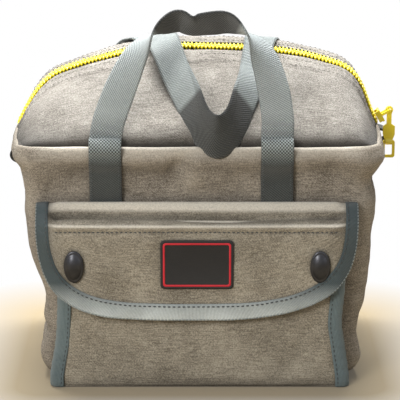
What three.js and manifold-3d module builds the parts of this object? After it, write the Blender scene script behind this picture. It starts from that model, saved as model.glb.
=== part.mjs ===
// A canvas tool bag with a zippered top, two webbing handles and a snap pocket on its front.
// Millimetres. X runs to the right, Y to the back and Z up. The bag stands on Z = 0, and while it is
// built Y = 0 is the plane of the zipper. The last lines move it to the middle of its own box.
import * as THREE from "three";
import { mergeVertices } from "three/addons/utils/BufferGeometryUtils.js";
import Module from "manifold-3d";

const wasm = await Module();
wasm.setup();

// Cloth and clearances
const CANVAS = 2.5;
const SEAM_GAP = 0.3;
const MOVING_GAP = 0.7;
const CORNER_GAP = 0.9;
const WEBBING_WIDTH = 26;
const WEBBING = 2;
const TAPE = 0.9;

// Bag body: half widths and half depths of the walls at four heights
const BASE_HALF_WIDTH = 122;
const SKIRT_HEIGHT = 16;
const SKIRT_HALF_WIDTH = 129.5;
const WAIST_HEIGHT = 52;
const WAIST_HALF_WIDTH = 127.5;
const CHEST_HEIGHT = 110;
const CHEST_HALF_WIDTH = 137;
const RIM_HEIGHT = 197;
const RIM_HALF_WIDTH = 144;
const BASE_HALF_DEPTH = 81;
const WALL_HALF_DEPTH = 85;
const RIM_HALF_DEPTH = 91;
const RIM_FLARE_HEIGHT = 155;
const RIM_SIDE_BULGE = 8;
const WAIST_SIDE_PINCH = 3;
const BASE_CORNER_RADIUS = 8;
const BOARD = 2;
const BOARD_INSET = 5;

// Top: the ridge that the zipper follows, from the middle out to the ends
const RIDGE_RISE = 63;
const PANEL_HALF_WIDTH = 118;
const PANEL_END_DROP = 16;
const SHOULDER_X = 131;
const SHOULDER_DROP = 25;
const RUN_END_X = 150.5;
const RUN_END_RISE = 3;
const CREASE_INSET = 3;
const PUFF = 1.3;

// Zipper
const TOOTH_PITCH = 3.6;
const TOOTH_WIDTH = 1.4;
const TOOTH_HEIGHT = 2.4;
const TOOTH_REACH = 1.1;
const BEAD_INNER = 2;
const BEAD_OUTER = 3.3;
const PANEL_EDGE_Y = 4.6;
const TAPE_HALF_WIDTH = 15;
const SLIDER_LENGTH = 12;
const SLIDER_WIDTH = 11;
const SLIDER_PLATE = 1.6;
const SLIDER_FROM_RUN_END = 2;
const BAIL_HEIGHT = 8.5;
const BAIL_HALF_SPAN = 3.2;
const BAIL_RADIUS = 1;
const PULL_LENGTH = 30;
const PULL_WIDTH = 10;
const PULL_THICKNESS = 2.6;
const PULL_BORE_RADIUS = 1.6;
const RING_WIDTH = 10.5;
const RING_LENGTH = 15;
const RING_BAR = 2.2;
const RING_BORE_RADIUS = 1.9;
const BARREL_RADIUS = 3;
const BARREL_HALF_LENGTH = 2.7;
const PULL_EYE_RADIUS = 3.2;
const PULL_NECK_WIDTH = 4;
const PULL_NECK_LENGTH = 12;
const END_TAB_WIDTH = 18;
const END_TAB_HEIGHT = 15;
const END_TAB_REACH = 10.5;
const END_TAB_Y = 14;
const RIGHT_TAB_DROP = 13;
const LEFT_TAB_DROP = 29;
const CHAIN_END_TAPE = 9;

// Straps and handles: where the webbing is sewn, and how far the handles reach
const LEFT_STRAP_X = -73;
const RIGHT_STRAP_X = 64;
const REAR_STRAP_FOOT = 20;
const STRAP_TOP_CLEARANCE = 3.5;
const STRAP_FOOT_CLEARANCE = 8;
const FRONT_HANDLE_LEAN = 71;
const FRONT_HANDLE_REACH = 96;
const BRIDGE_TILT = 45;
const FRONT_HANDLE_LIFT = 0.3;
const FRONT_HANDLE_START = 3;
const FRONT_HANDLE_SPREAD = 30;
const HANDLE_START = 4;
const BOW_TIP_Y = -100.5;
const BOW_TIP_RISE = 11;
const BOW_TIP_X = 17;
const BOW_SPREAD = 34;

// Front pocket, its flap and its snaps
const POCKET_DEPTH = 20;
const POCKET_TOP = 124;
const POCKET_HALF_WIDTH = 112;
const POCKET_FOOT_HALF_WIDTH = 118;
const POCKET_FLOOR = 2;
const POCKET_BINDING_WIDTH = 9;
const BINDING = 1.2;
const FLAP_TOP = 150;
const FLAP_STAND_OFF = 4.2;
const FLAP_HALF_WIDTH = 129;
const FLAP_LENGTH = 104;
const FLAP_BINDING_WIDTH = 13.5;
const FLAP_ROUNDING = 4;
const SNAP_X = 98;
const SNAP_ABOVE_EDGE = 44;
const CAP_WIDTH = 15.5;
const CAP_HEIGHT = 26;
const CAP_DOME = 4.2;
const SOCKET_RADIUS = 7;
const SOCKET_BORE_RADIUS = 4.6;
const SOCKET_THICKNESS = 1.6;
const STUD_RADIUS = 2.4;
const STUD_BASE_RADIUS = 4.4;
const STUD_BASE = 0.7;
const STUD_REACH = 1.7;
const PATCH_WIDTH = 58;
const PATCH_HEIGHT = 40;
const PATCH_THICKNESS = 1.6;
const PATCH_ABOVE_EDGE = 46;
const PATCH_CORNER_RADIUS = 3;

const CREASE_Y = RIM_HALF_DEPTH - CREASE_INSET;
const WALL_TOP = RIM_HEIGHT - MOVING_GAP;
const WALL_FOOT = CANVAS + SEAM_GAP;

// Colours and finishes
function finish(color, roughness, metalness = 0) {
  return new THREE.MeshStandardMaterial({ color, roughness, metalness });
}
const canvas = finish(0x8c8272, 0.95);
const lightCanvas = finish(0xb4ada0, 0.95);
const webbing = finish(0x565c5a, 0.9);
const binding = finish(0x5f6e72, 0.85);
const blackWebbing = finish(0x1c1e1c, 0.9);
const tapeCloth = finish(0x7d766a, 0.95);
const board = finish(0x2c2a28, 0.8);
const yellow = finish(0xf0d820, 0.4);
const yellowMetal = finish(0xe6cc2c, 0.35, 0.2);
const gunmetal = finish(0x5b5f62, 0.35, 0.9);
const rubber = finish(0x242424, 0.75);

// The value at x of a smooth line through the given [place, value] stations
function along(stations, x) {
  if (x <= stations[0][0]) return stations[0][1];
  for (let i = 1; i < stations.length; i++) {
    const [x0, y0] = stations[i - 1];
    const [x1, y1] = stations[i];
    if (x <= x1) return y0 + (y1 - y0) * THREE.MathUtils.smoothstep(x, x0, x1);
  }
  return stations[stations.length - 1][1];
}

// Half width of the bag at its front and rear corners
function halfWidth(z) {
  return along(
    [
      [0, BASE_HALF_WIDTH],
      [SKIRT_HEIGHT, SKIRT_HALF_WIDTH],
      [WAIST_HEIGHT, WAIST_HALF_WIDTH],
      [CHEST_HEIGHT, CHEST_HALF_WIDTH],
      [RIM_HEIGHT, RIM_HALF_WIDTH],
    ],
    z,
  );
}

// Half depth of the bag
function halfDepth(z) {
  return along(
    [
      [0, BASE_HALF_DEPTH],
      [SKIRT_HEIGHT, WALL_HALF_DEPTH],
      [RIM_FLARE_HEIGHT, WALL_HALF_DEPTH],
      [RIM_HEIGHT, RIM_HALF_DEPTH],
    ],
    z,
  );
}

// How far the side swells beyond its corners, half way back
function sideBulge(z) {
  return along(
    [
      [0, 0],
      [WAIST_HEIGHT, -WAIST_SIDE_PINCH],
      [RIM_HEIGHT, RIM_SIDE_BULGE],
    ],
    z,
  );
}

function sideX(y, z) {
  const across = y / halfDepth(z);
  return halfWidth(z) + sideBulge(z) * (1 - across * across);
}

// The share of the ridge's height that the top still has at y, full at the zipper and none at the crease
function puff(y) {
  const share = Math.min(Math.abs(y) / CREASE_Y, 1);
  return 1 - Math.pow(share, PUFF);
}

// Height of the ridge over the rim between the two ends of the movable panels
function ridgeRise(x) {
  const share = Math.abs(x) / PANEL_HALF_WIDTH;
  return RIDGE_RISE - PANEL_END_DROP * Math.pow(share, 3);
}

function topZ(x, y) {
  return RIM_HEIGHT + ridgeRise(x) * puff(y);
}

// The direction square to a face at u, v
function squareTo(face, u, v) {
  const step = 1e-3;
  const u0 = Math.max(u - step, 0);
  const u1 = Math.min(u + step, 1);
  const v0 = Math.max(v - step, 0);
  const v1 = Math.min(v + step, 1);
  const du = face(u1, v).sub(face(u0, v));
  const dv = face(u, v1).sub(face(u, v0));
  return du.cross(dv).normalize();
}

// A sheet of cloth whose outer face is face(u, v): the solid lies from `front` to `back` behind that face
function sheet(face, back, columns, rows, front = 0) {
  const geometry = new THREE.BoxGeometry(1, 1, 1, columns, rows, 1);
  const place = geometry.attributes.position;
  for (let i = 0; i < place.count; i++) {
    const u = place.getX(i) + 0.5;
    const v = place.getY(i) + 0.5;
    const depth = place.getZ(i) > 0 ? front : back;
    const point = face(u, v).addScaledVector(squareTo(face, u, v), -depth);
    place.setXYZ(i, point.x, point.y, point.z);
  }
  geometry.computeVertexNormals();
  return geometry;
}

// A geometry as a solid for cutting and joining, and back
function solid(geometry) {
  const bare = geometry.clone();
  bare.deleteAttribute("normal");
  bare.deleteAttribute("uv");
  const merged = mergeVertices(bare, 1e-3);
  const index = merged.index ? merged.index.array : merged.attributes.position.array.map((_, i) => i);
  return new wasm.Manifold(
    new wasm.Mesh({
      numProp: 3,
      vertProperties: new Float32Array(merged.attributes.position.array),
      triVerts: new Uint32Array(index),
    }),
  );
}

function fromSolid(manifold) {
  const mesh = manifold.getMesh();
  const geometry = new THREE.BufferGeometry();
  geometry.setAttribute("position", new THREE.BufferAttribute(mesh.vertProperties, 3));
  geometry.setIndex(new THREE.BufferAttribute(mesh.triVerts, 1));
  geometry.computeVertexNormals();
  return geometry;
}

function box(width, depth, height, x, y, z) {
  return new THREE.BoxGeometry(width, depth, height).translate(x, y, z);
}

function joined(...geometries) {
  return fromSolid(geometries.map(solid).reduce((whole, next) => whole.add(next)));
}

const bag = new THREE.Group();

function add(name, geometry, material, group = bag) {
  const mesh = new THREE.Mesh(geometry, material);
  mesh.name = name;
  group.add(mesh);
  return mesh;
}

function roundedRectangle(halfX, halfY, radius) {
  const shape = new THREE.Shape();
  shape.moveTo(-halfX + radius, -halfY);
  shape.lineTo(halfX - radius, -halfY);
  shape.absarc(halfX - radius, -halfY + radius, radius, -Math.PI / 2, 0);
  shape.lineTo(halfX, halfY - radius);
  shape.absarc(halfX - radius, halfY - radius, radius, 0, Math.PI / 2);
  shape.lineTo(-halfX + radius, halfY);
  shape.absarc(-halfX + radius, halfY - radius, radius, Math.PI / 2, Math.PI);
  shape.lineTo(-halfX, -halfY + radius);
  shape.absarc(-halfX + radius, -halfY + radius, radius, Math.PI, Math.PI * 1.5);
  return shape;
}

// Floor of the bag and the stiff board on it
function addBase() {
  const outline = roundedRectangle(BASE_HALF_WIDTH, BASE_HALF_DEPTH, BASE_CORNER_RADIUS);
  const floor = new THREE.ExtrudeGeometry(outline, { depth: CANVAS, bevelEnabled: false, curveSegments: 4 });
  add("bottom_panel", floor, canvas);
  const inset = CANVAS + BOARD_INSET;
  const inner = roundedRectangle(BASE_HALF_WIDTH - inset, BASE_HALF_DEPTH - inset, BASE_CORNER_RADIUS);
  const stiffener = new THREE.ExtrudeGeometry(inner, { depth: BOARD, bevelEnabled: false, curveSegments: 4 });
  const mesh = add("base_board", stiffener, board);
  mesh.position.z = CANVAS + SEAM_GAP;
}

// The four walls. The side walls run the full depth, and the front and rear walls fit between them.
function addWalls() {
  const height = (v) => WALL_FOOT + v * (WALL_TOP - WALL_FOOT);
  const wall = (facing) => (u, v) => {
    const z = height(v);
    const reach = halfWidth(z) - CANVAS - CORNER_GAP;
    return new THREE.Vector3(-facing * (2 * u - 1) * reach, facing * halfDepth(z), z);
  };
  add("front_panel", sheet(wall(-1), CANVAS, 2, 24), canvas);
  add("rear_panel", sheet(wall(1), CANVAS, 2, 24), canvas);
  const sideTop = RIM_HEIGHT - CANVAS - SEAM_GAP;
  const side = (u, v) => {
    const z = WALL_FOOT + v * (sideTop - WALL_FOOT);
    const y = (2 * u - 1) * halfDepth(z);
    return new THREE.Vector3(sideX(y, z), y, z);
  };
  add("right_side_panel", sheet(side, CANVAS, 6, 24), canvas);
  add("left_side_panel", sheet(side, CANVAS, 6, 24), canvas).scale.x = -1;
}

// The two halves of the top that fold outward from the creases
function addTopPanels() {
  const half = (facing) => (u, v) => {
    const reach = PANEL_HALF_WIDTH - SEAM_GAP;
    const x = -facing * (2 * u - 1) * reach;
    const from = CREASE_Y - MOVING_GAP;
    const y = facing * (from + v * (PANEL_EDGE_Y - from));
    return new THREE.Vector3(x, y, topZ(x, y));
  };
  add("front_top_panel", sheet(half(-1), CANVAS, 8, 8), lightCanvas);
  add("rear_top_panel", sheet(half(1), CANVAS, 8, 8), lightCanvas);
}

// The end of the top beyond the movable panels: it closes down from the ridge to the rim
function shoulderRise(x) {
  const panelEnd = RIDGE_RISE - PANEL_END_DROP;
  const shoulder = RIDGE_RISE - SHOULDER_DROP;
  if (x < SHOULDER_X) {
    return panelEnd + ((x - PANEL_HALF_WIDTH) / (SHOULDER_X - PANEL_HALF_WIDTH)) * (shoulder - panelEnd);
  }
  const down = Math.min((x - SHOULDER_X) / (RUN_END_X - SHOULDER_X), 1);
  return shoulder + down * (RUN_END_RISE - shoulder);
}

// A straight-sided line through the given [place, value] stations
function stretch(stations, x) {
  for (let i = 1; i < stations.length; i++) {
    const [x0, y0] = stations[i - 1];
    const [x1, y1] = stations[i];
    if (x <= x1) return y0 + ((y1 - y0) * (x - x0)) / (x1 - x0);
  }
  return stations[stations.length - 1][1];
}

const CAP_COLUMNS = 6;
const CAP_INNER = PANEL_HALF_WIDTH + SEAM_GAP;
const CAP_END = sideX(0, RIM_HEIGHT);

// X along the middle of the end cap: its columns fall on the shoulder and on the end of the straight run
function capX(u) {
  return stretch(
    [
      [0, CAP_INNER],
      [2 / CAP_COLUMNS, SHOULDER_X],
      [5 / CAP_COLUMNS, RUN_END_X],
      [1, CAP_END],
    ],
    u,
  );
}

function capFace(u, v) {
  const y = (2 * v - 1) * (CREASE_Y - MOVING_GAP);
  const middleX = capX(u);
  const share = (middleX - CAP_INNER) / (CAP_END - CAP_INNER);
  const x = CAP_INNER + share * (sideX(y, RIM_HEIGHT) - CAP_INNER);
  const rise = u < 1 ? shoulderRise(middleX) : 0;
  return new THREE.Vector3(x, y, RIM_HEIGHT + rise * puff(y));
}

function addEndCaps() {
  add("right_end_cap", sheet(capFace, CANVAS, CAP_COLUMNS, 8), lightCanvas);
  add("left_end_cap", sheet(capFace, CANVAS, CAP_COLUMNS, 8), lightCanvas).scale.x = -1;
}

// One half of the chain: a bead with teeth on its inner side that reach past the middle
function halfChain(facing) {
  const reach = PANEL_HALF_WIDTH - SEAM_GAP;
  const bead = (u, v) => {
    const x = -facing * (2 * u - 1) * reach;
    const y = facing * (BEAD_OUTER + v * (BEAD_INNER - BEAD_OUTER));
    return new THREE.Vector3(x, y, topZ(x, 0) - CANVAS + TOOTH_HEIGHT);
  };
  const count = Math.floor((2 * reach) / TOOTH_PITCH) - 1;
  const start = (-(count - 1) * TOOTH_PITCH) / 2 + (facing > 0 ? TOOTH_PITCH / 2 : 0);
  const root = BEAD_INNER + SEAM_GAP;
  const teeth = [];
  for (let i = 0; i < count; i++) {
    const x = start + i * TOOTH_PITCH;
    const y = (facing * (root - TOOTH_REACH)) / 2;
    const z = topZ(x, 0) - CANVAS + TOOTH_HEIGHT / 2;
    teeth.push(box(TOOTH_WIDTH, root + TOOTH_REACH, TOOTH_HEIGHT * 0.9, x, y, z));
  }
  return joined(sheet(bead, TOOTH_HEIGHT, 16, 1), ...teeth);
}

// Tape and teeth along the straight top, one half on each movable panel
function addTopChain() {
  const tapeFace = (facing) => (u, v) => {
    const x = -facing * (2 * u - 1) * (PANEL_HALF_WIDTH - SEAM_GAP);
    const y = facing * (TAPE_HALF_WIDTH + v * (BEAD_INNER - TAPE_HALF_WIDTH));
    return new THREE.Vector3(x, y, topZ(x, y));
  };
  const under = CANVAS + SEAM_GAP;
  add("front_zipper_tape", sheet(tapeFace(-1), under + TAPE, 8, 1, under), tapeCloth);
  add("rear_zipper_tape", sheet(tapeFace(1), under + TAPE, 8, 1, under), tapeCloth);
  add("front_zipper_teeth", halfChain(-1), yellow);
  add("rear_zipper_teeth", halfChain(1), yellow);
}

// The closed end of the chain on an end cap, down the straight run that the slider travels
function runPoint(distance) {
  const path = [CAP_INNER, SHOULDER_X, RUN_END_X].map(
    (x) => new THREE.Vector3(x, 0, RIM_HEIGHT + shoulderRise(x)),
  );
  const first = path[0].distanceTo(path[1]);
  const [a, b, from] = distance < first ? [path[0], path[1], 0] : [path[1], path[2], first];
  const direction = b.clone().sub(a).normalize();
  const normal = new THREE.Vector3(-direction.z, 0, direction.x);
  const length = first + path[1].distanceTo(path[2]);
  return { point: a.clone().addScaledVector(direction, distance - from), direction, normal, length };
}

const TAPE_LIFT = SEAM_GAP + TAPE;
const CHAIN_LIFT = TAPE_LIFT + SEAM_GAP;

function chainEnd() {
  const { length } = runPoint(0);
  const kink = new THREE.Vector3(CAP_INNER, 0, shoulderRise(CAP_INNER)).distanceTo(
    new THREE.Vector3(SHOULDER_X, 0, shoulderRise(SHOULDER_X)),
  );
  const core = (from, to) => (u, v) => {
    const { point, normal } = runPoint(from + u * (to - from));
    point.addScaledVector(normal, CHAIN_LIFT + TOOTH_HEIGHT);
    point.y = (2 * v - 1) * BEAD_INNER;
    return point;
  };
  const bars = [];
  for (let along = TOOTH_PITCH / 2; along < length - TOOTH_WIDTH; along += TOOTH_PITCH) {
    if (Math.abs(along - kink) < TOOTH_WIDTH) continue;
    const { point, direction, normal } = runPoint(along);
    const bar = box(TOOTH_WIDTH * 0.8, 2 * BEAD_OUTER, TOOTH_HEIGHT * 0.9, 0, 0, 0);
    bar.rotateY(Math.atan2(-direction.z, direction.x));
    point.addScaledVector(normal, CHAIN_LIFT + TOOTH_HEIGHT / 2);
    bars.push(bar.translate(point.x, 0, point.z));
  }
  const upper = sheet(core(SEAM_GAP, kink - 1e-3), TOOTH_HEIGHT, 1, 1);
  const lower = sheet(core(kink + 1e-3, length), TOOTH_HEIGHT, 1, 1);
  const { point } = runPoint(kink);
  const knee = new THREE.CylinderGeometry(TOOTH_HEIGHT / 2, TOOTH_HEIGHT / 2, 2 * BEAD_INNER, 10);
  const lift = CHAIN_LIFT + TOOTH_HEIGHT / 2;
  const middle = runPoint(kink - 1e-3).normal.add(runPoint(kink + 1e-3).normal).normalize();
  knee.translate(point.x + lift * middle.x, 0, point.z + lift * middle.z);
  return joined(upper, lower, knee, ...bars);
}

function addChainEnds() {
  const strip = (u, v) => {
    const y = (2 * v - 1) * CHAIN_END_TAPE;
    const cap = capFace(u, 0.5 + y / (2 * CREASE_Y));
    return cap;
  };
  const tape = () => sheet(strip, -SEAM_GAP, CAP_COLUMNS, 2, -TAPE_LIFT);
  add("right_zipper_end_tape", tape(), tapeCloth);
  add("left_zipper_end_tape", tape(), tapeCloth).scale.x = -1;
  add("right_zipper_end", chainEnd(), yellow);
  add("left_zipper_end", chainEnd(), yellow).scale.x = -1;
}

// The slider, seen with its own X down the run and its own Z square to it
const PLATE_Z = CHAIN_LIFT + TOOTH_HEIGHT + SEAM_GAP + SLIDER_PLATE / 2;
const BAR_Z = PLATE_Z + SLIDER_PLATE / 2 + BAIL_HEIGHT - BAIL_RADIUS;

function addSlider() {
  const flangeTop = PLATE_Z;
  const flangeFoot = TAPE_LIFT + SEAM_GAP;
  const flangeY = (BEAD_OUTER + SEAM_GAP + SLIDER_WIDTH / 2) / 2;
  const flangeWidth = SLIDER_WIDTH / 2 - BEAD_OUTER - SEAM_GAP;
  const flange = (side) =>
    box(SLIDER_LENGTH * 0.8, flangeWidth, flangeTop - flangeFoot, 0, side * flangeY, (flangeTop + flangeFoot) / 2);
  const leg = (side) =>
    box(2 * BAIL_RADIUS, 2 * BAIL_RADIUS, BAR_Z - PLATE_Z, 0, side * BAIL_HALF_SPAN, (BAR_Z + PLATE_Z) / 2);
  const bar = new THREE.CylinderGeometry(BAIL_RADIUS, BAIL_RADIUS, 2 * (BAIL_HALF_SPAN + BAIL_RADIUS), 12);
  const plate = new THREE.ExtrudeGeometry(roundedRectangle(SLIDER_LENGTH / 2, SLIDER_WIDTH / 2, 3), {
    depth: SLIDER_PLATE,
    bevelEnabled: false,
    curveSegments: 3,
  });
  plate.translate(0, 0, PLATE_Z - SLIDER_PLATE / 2);
  const geometry = joined(plate, flange(-1), flange(1), leg(-1), leg(1), bar.translate(0, 0, BAR_Z));
  const mesh = add("zipper_slider", geometry, yellowMetal);
  const { length } = runPoint(0);
  const { point, direction } = runPoint(length - SLIDER_FROM_RUN_END);
  mesh.position.copy(point);
  mesh.rotation.y = Math.atan2(-direction.z, direction.x);
  mesh.updateMatrix();
  return new THREE.Vector3(0, 0, BAR_Z).applyMatrix4(mesh.matrix);
}

// The pull hangs from the slider's bail, and the ring from the barrel at its lower end
function addPull(pivot) {
  const outline = new THREE.Shape();
  const half = PULL_WIDTH / 2;
  const barrelZ = -PULL_LENGTH + BARREL_RADIUS;
  outline.absarc(0, 0, PULL_EYE_RADIUS, 0, Math.PI);
  outline.lineTo(-PULL_NECK_WIDTH / 2, -PULL_EYE_RADIUS);
  outline.lineTo(-PULL_NECK_WIDTH / 2, -PULL_NECK_LENGTH);
  outline.lineTo(-half, -PULL_NECK_LENGTH - 2);
  outline.lineTo(-half, barrelZ + BARREL_RADIUS + 3);
  outline.lineTo(-BARREL_HALF_LENGTH, barrelZ);
  outline.lineTo(BARREL_HALF_LENGTH, barrelZ);
  outline.lineTo(half, barrelZ + BARREL_RADIUS + 3);
  outline.lineTo(half, -PULL_NECK_LENGTH - 2);
  outline.lineTo(PULL_NECK_WIDTH / 2, -PULL_NECK_LENGTH);
  outline.lineTo(PULL_NECK_WIDTH / 2, -PULL_EYE_RADIUS);
  const eye = new THREE.Path();
  eye.absarc(0, 0, PULL_BORE_RADIUS, 0, Math.PI * 2, true);
  outline.holes.push(eye);
  const plate = new THREE.ExtrudeGeometry(outline, {
    depth: PULL_THICKNESS,
    bevelEnabled: false,
    curveSegments: 8,
  });
  plate.translate(0, 0, -PULL_THICKNESS / 2);
  plate.rotateX(Math.PI / 2);
  const barrel = new THREE.CylinderGeometry(BARREL_RADIUS, BARREL_RADIUS, 2 * BARREL_HALF_LENGTH, 14);
  const bore = new THREE.CylinderGeometry(RING_BORE_RADIUS, RING_BORE_RADIUS, 4 * BARREL_HALF_LENGTH, 12);
  for (const part of [barrel, bore]) part.rotateZ(Math.PI / 2).translate(0, 0, barrelZ);
  const body = solid(plate).add(solid(barrel)).subtract(solid(bore));
  const pull = add("zipper_pull", fromSolid(body), yellowMetal);
  pull.position.copy(pivot);

  const ring = roundedRectangle(RING_WIDTH / 2, RING_LENGTH / 2, RING_BAR);
  const opening = roundedRectangle(RING_WIDTH / 2 - RING_BAR, RING_LENGTH / 2 - RING_BAR, 1);
  ring.holes.push(opening);
  const loop = new THREE.ExtrudeGeometry(ring, { depth: RING_BAR, bevelEnabled: false, curveSegments: 4 });
  loop.translate(0, 0, -RING_BAR / 2);
  loop.rotateX(Math.PI / 2);
  loop.translate(0, 0, barrelZ - RING_LENGTH / 2 + RING_BAR / 2);
  add("pull_ring", loop, yellowMetal).position.copy(pivot);
}

// Folded webbing tabs sewn to the sides just behind the ends of the zipper
function addEndTabs() {
  for (const [name, side, z] of [
    ["right_end_tab", 1, RIM_HEIGHT - RIGHT_TAB_DROP],
    ["left_end_tab", -1, RIM_HEIGHT - LEFT_TAB_DROP],
  ]) {
    const seat = sideX(END_TAB_Y - END_TAB_WIDTH / 2, z + END_TAB_HEIGHT / 2) + SEAM_GAP;
    const half = END_TAB_HEIGHT / 2;
    const fold = new THREE.Shape();
    fold.moveTo(seat, -half);
    fold.quadraticCurveTo(seat + END_TAB_REACH, -half, seat + END_TAB_REACH, 0);
    fold.quadraticCurveTo(seat + END_TAB_REACH, half, seat, half);
    const tab = new THREE.ExtrudeGeometry(fold, { depth: END_TAB_WIDTH, bevelEnabled: false, curveSegments: 5 });
    tab.rotateX(Math.PI / 2);
    const mesh = add(name, tab, blackWebbing);
    mesh.position.set(0, END_TAB_Y + END_TAB_WIDTH / 2, z);
    mesh.scale.x = side;
  }
}

// A length of webbing. Each station has the middle of the webbing, the direction across it and its width.
function webbingStrip(stations, steps, thickness = WEBBING) {
  const middle = new THREE.CatmullRomCurve3(stations.map((s) => new THREE.Vector3(...s.at)));
  const across = new THREE.CatmullRomCurve3(stations.map((s) => new THREE.Vector3(...s.across)));
  const widths = new THREE.CatmullRomCurve3(stations.map((s) => new THREE.Vector3(s.width, 0, 0)));
  const face = (u, v) => {
    const side = across.getPoint(u).normalize();
    return middle.getPoint(u).addScaledVector(side, (v - 0.5) * widths.getPoint(u).x);
  };
  return sheet(face, thickness / 2, steps, 2, -thickness / 2);
}

// Straps sewn up the front wall from the flap to the crease, and up the rear wall from near its foot
function addStraps() {
  for (const [name, x, facing, foot] of [
    ["front_left_strap", LEFT_STRAP_X, -1, FLAP_TOP + STRAP_FOOT_CLEARANCE],
    ["front_right_strap", RIGHT_STRAP_X, -1, FLAP_TOP + STRAP_FOOT_CLEARANCE],
    ["rear_left_strap", LEFT_STRAP_X, 1, REAR_STRAP_FOOT],
    ["rear_right_strap", RIGHT_STRAP_X, 1, REAR_STRAP_FOOT],
  ]) {
    const face = (u, v) => {
      const z = foot + v * (WALL_TOP - STRAP_TOP_CLEARANCE - foot);
      const y = facing * (halfDepth(z) + SEAM_GAP + WEBBING);
      return new THREE.Vector3(x - facing * (u - 0.5) * WEBBING_WIDTH, y, z);
    };
    add(name, sheet(face, WEBBING, 1, facing > 0 ? 22 : 8), webbing);
  }
}

// The front handle leans back from the front crease. Its plane turns about the crease.
function leaning(x, reach, lift) {
  const lean = THREE.MathUtils.degToRad(FRONT_HANDLE_LEAN);
  const y = -CREASE_Y + reach * Math.cos(lean) - lift * Math.sin(lean);
  const z = RIM_HEIGHT + reach * Math.sin(lean) + lift * Math.cos(lean);
  return [x, y, z];
}

// A direction across the webbing: `flat` along X, the rest up and forward as the bridge lies
function acrossLean(flat) {
  const tilt = THREE.MathUtils.degToRad(BRIDGE_TILT);
  const up = Math.sqrt(1 - flat * flat);
  return [flat, -up * Math.sin(tilt), up * Math.cos(tilt)];
}

function addFrontHandle() {
  const reach = FRONT_HANDLE_REACH;
  const lift = FRONT_HANDLE_LIFT;
  const station = (x, share, flat, width, rise = 0) => ({
    at: leaning(x, share * reach, lift + rise),
    across: acrossLean(flat),
    width,
  });
  const start = FRONT_HANDLE_START / reach;
  const stations = [
    station(LEFT_STRAP_X, start, 0.999, WEBBING_WIDTH),
    station(LEFT_STRAP_X + 3, 0.25, 0.995, WEBBING_WIDTH, 3),
    station(LEFT_STRAP_X + 10, 0.5, 0.97, WEBBING_WIDTH, 6),
    station(LEFT_STRAP_X + 21, 0.78, 0.8, WEBBING_WIDTH, 9),
    station(LEFT_STRAP_X + 35, 0.97, 0.4, WEBBING_WIDTH + 2, 11),
    station(LEFT_STRAP_X + 54, 1.04, 0.05, FRONT_HANDLE_SPREAD, 11),
    station((LEFT_STRAP_X + RIGHT_STRAP_X) / 2 + 4, 1, 0, FRONT_HANDLE_SPREAD, 10),
    station(RIGHT_STRAP_X - 38, 1.03, -0.05, FRONT_HANDLE_SPREAD, 11),
    station(RIGHT_STRAP_X - 22, 0.97, -0.4, WEBBING_WIDTH + 2, 11),
    station(RIGHT_STRAP_X - 10, 0.78, -0.8, WEBBING_WIDTH, 9),
    station(RIGHT_STRAP_X - 3, 0.5, -0.97, WEBBING_WIDTH, 6),
    station(RIGHT_STRAP_X, 0.25, -0.995, WEBBING_WIDTH, 3),
    station(RIGHT_STRAP_X, start, -0.999, WEBBING_WIDTH),
  ];
  add("front_handle", webbingStrip(stations, 40), webbing);
}

// The rear handle: two legs up the rear half of the top, and the bow that has fallen over the front half
const LEFT_BOW_X = -31;
const RIGHT_BOW_X = 52;

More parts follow.
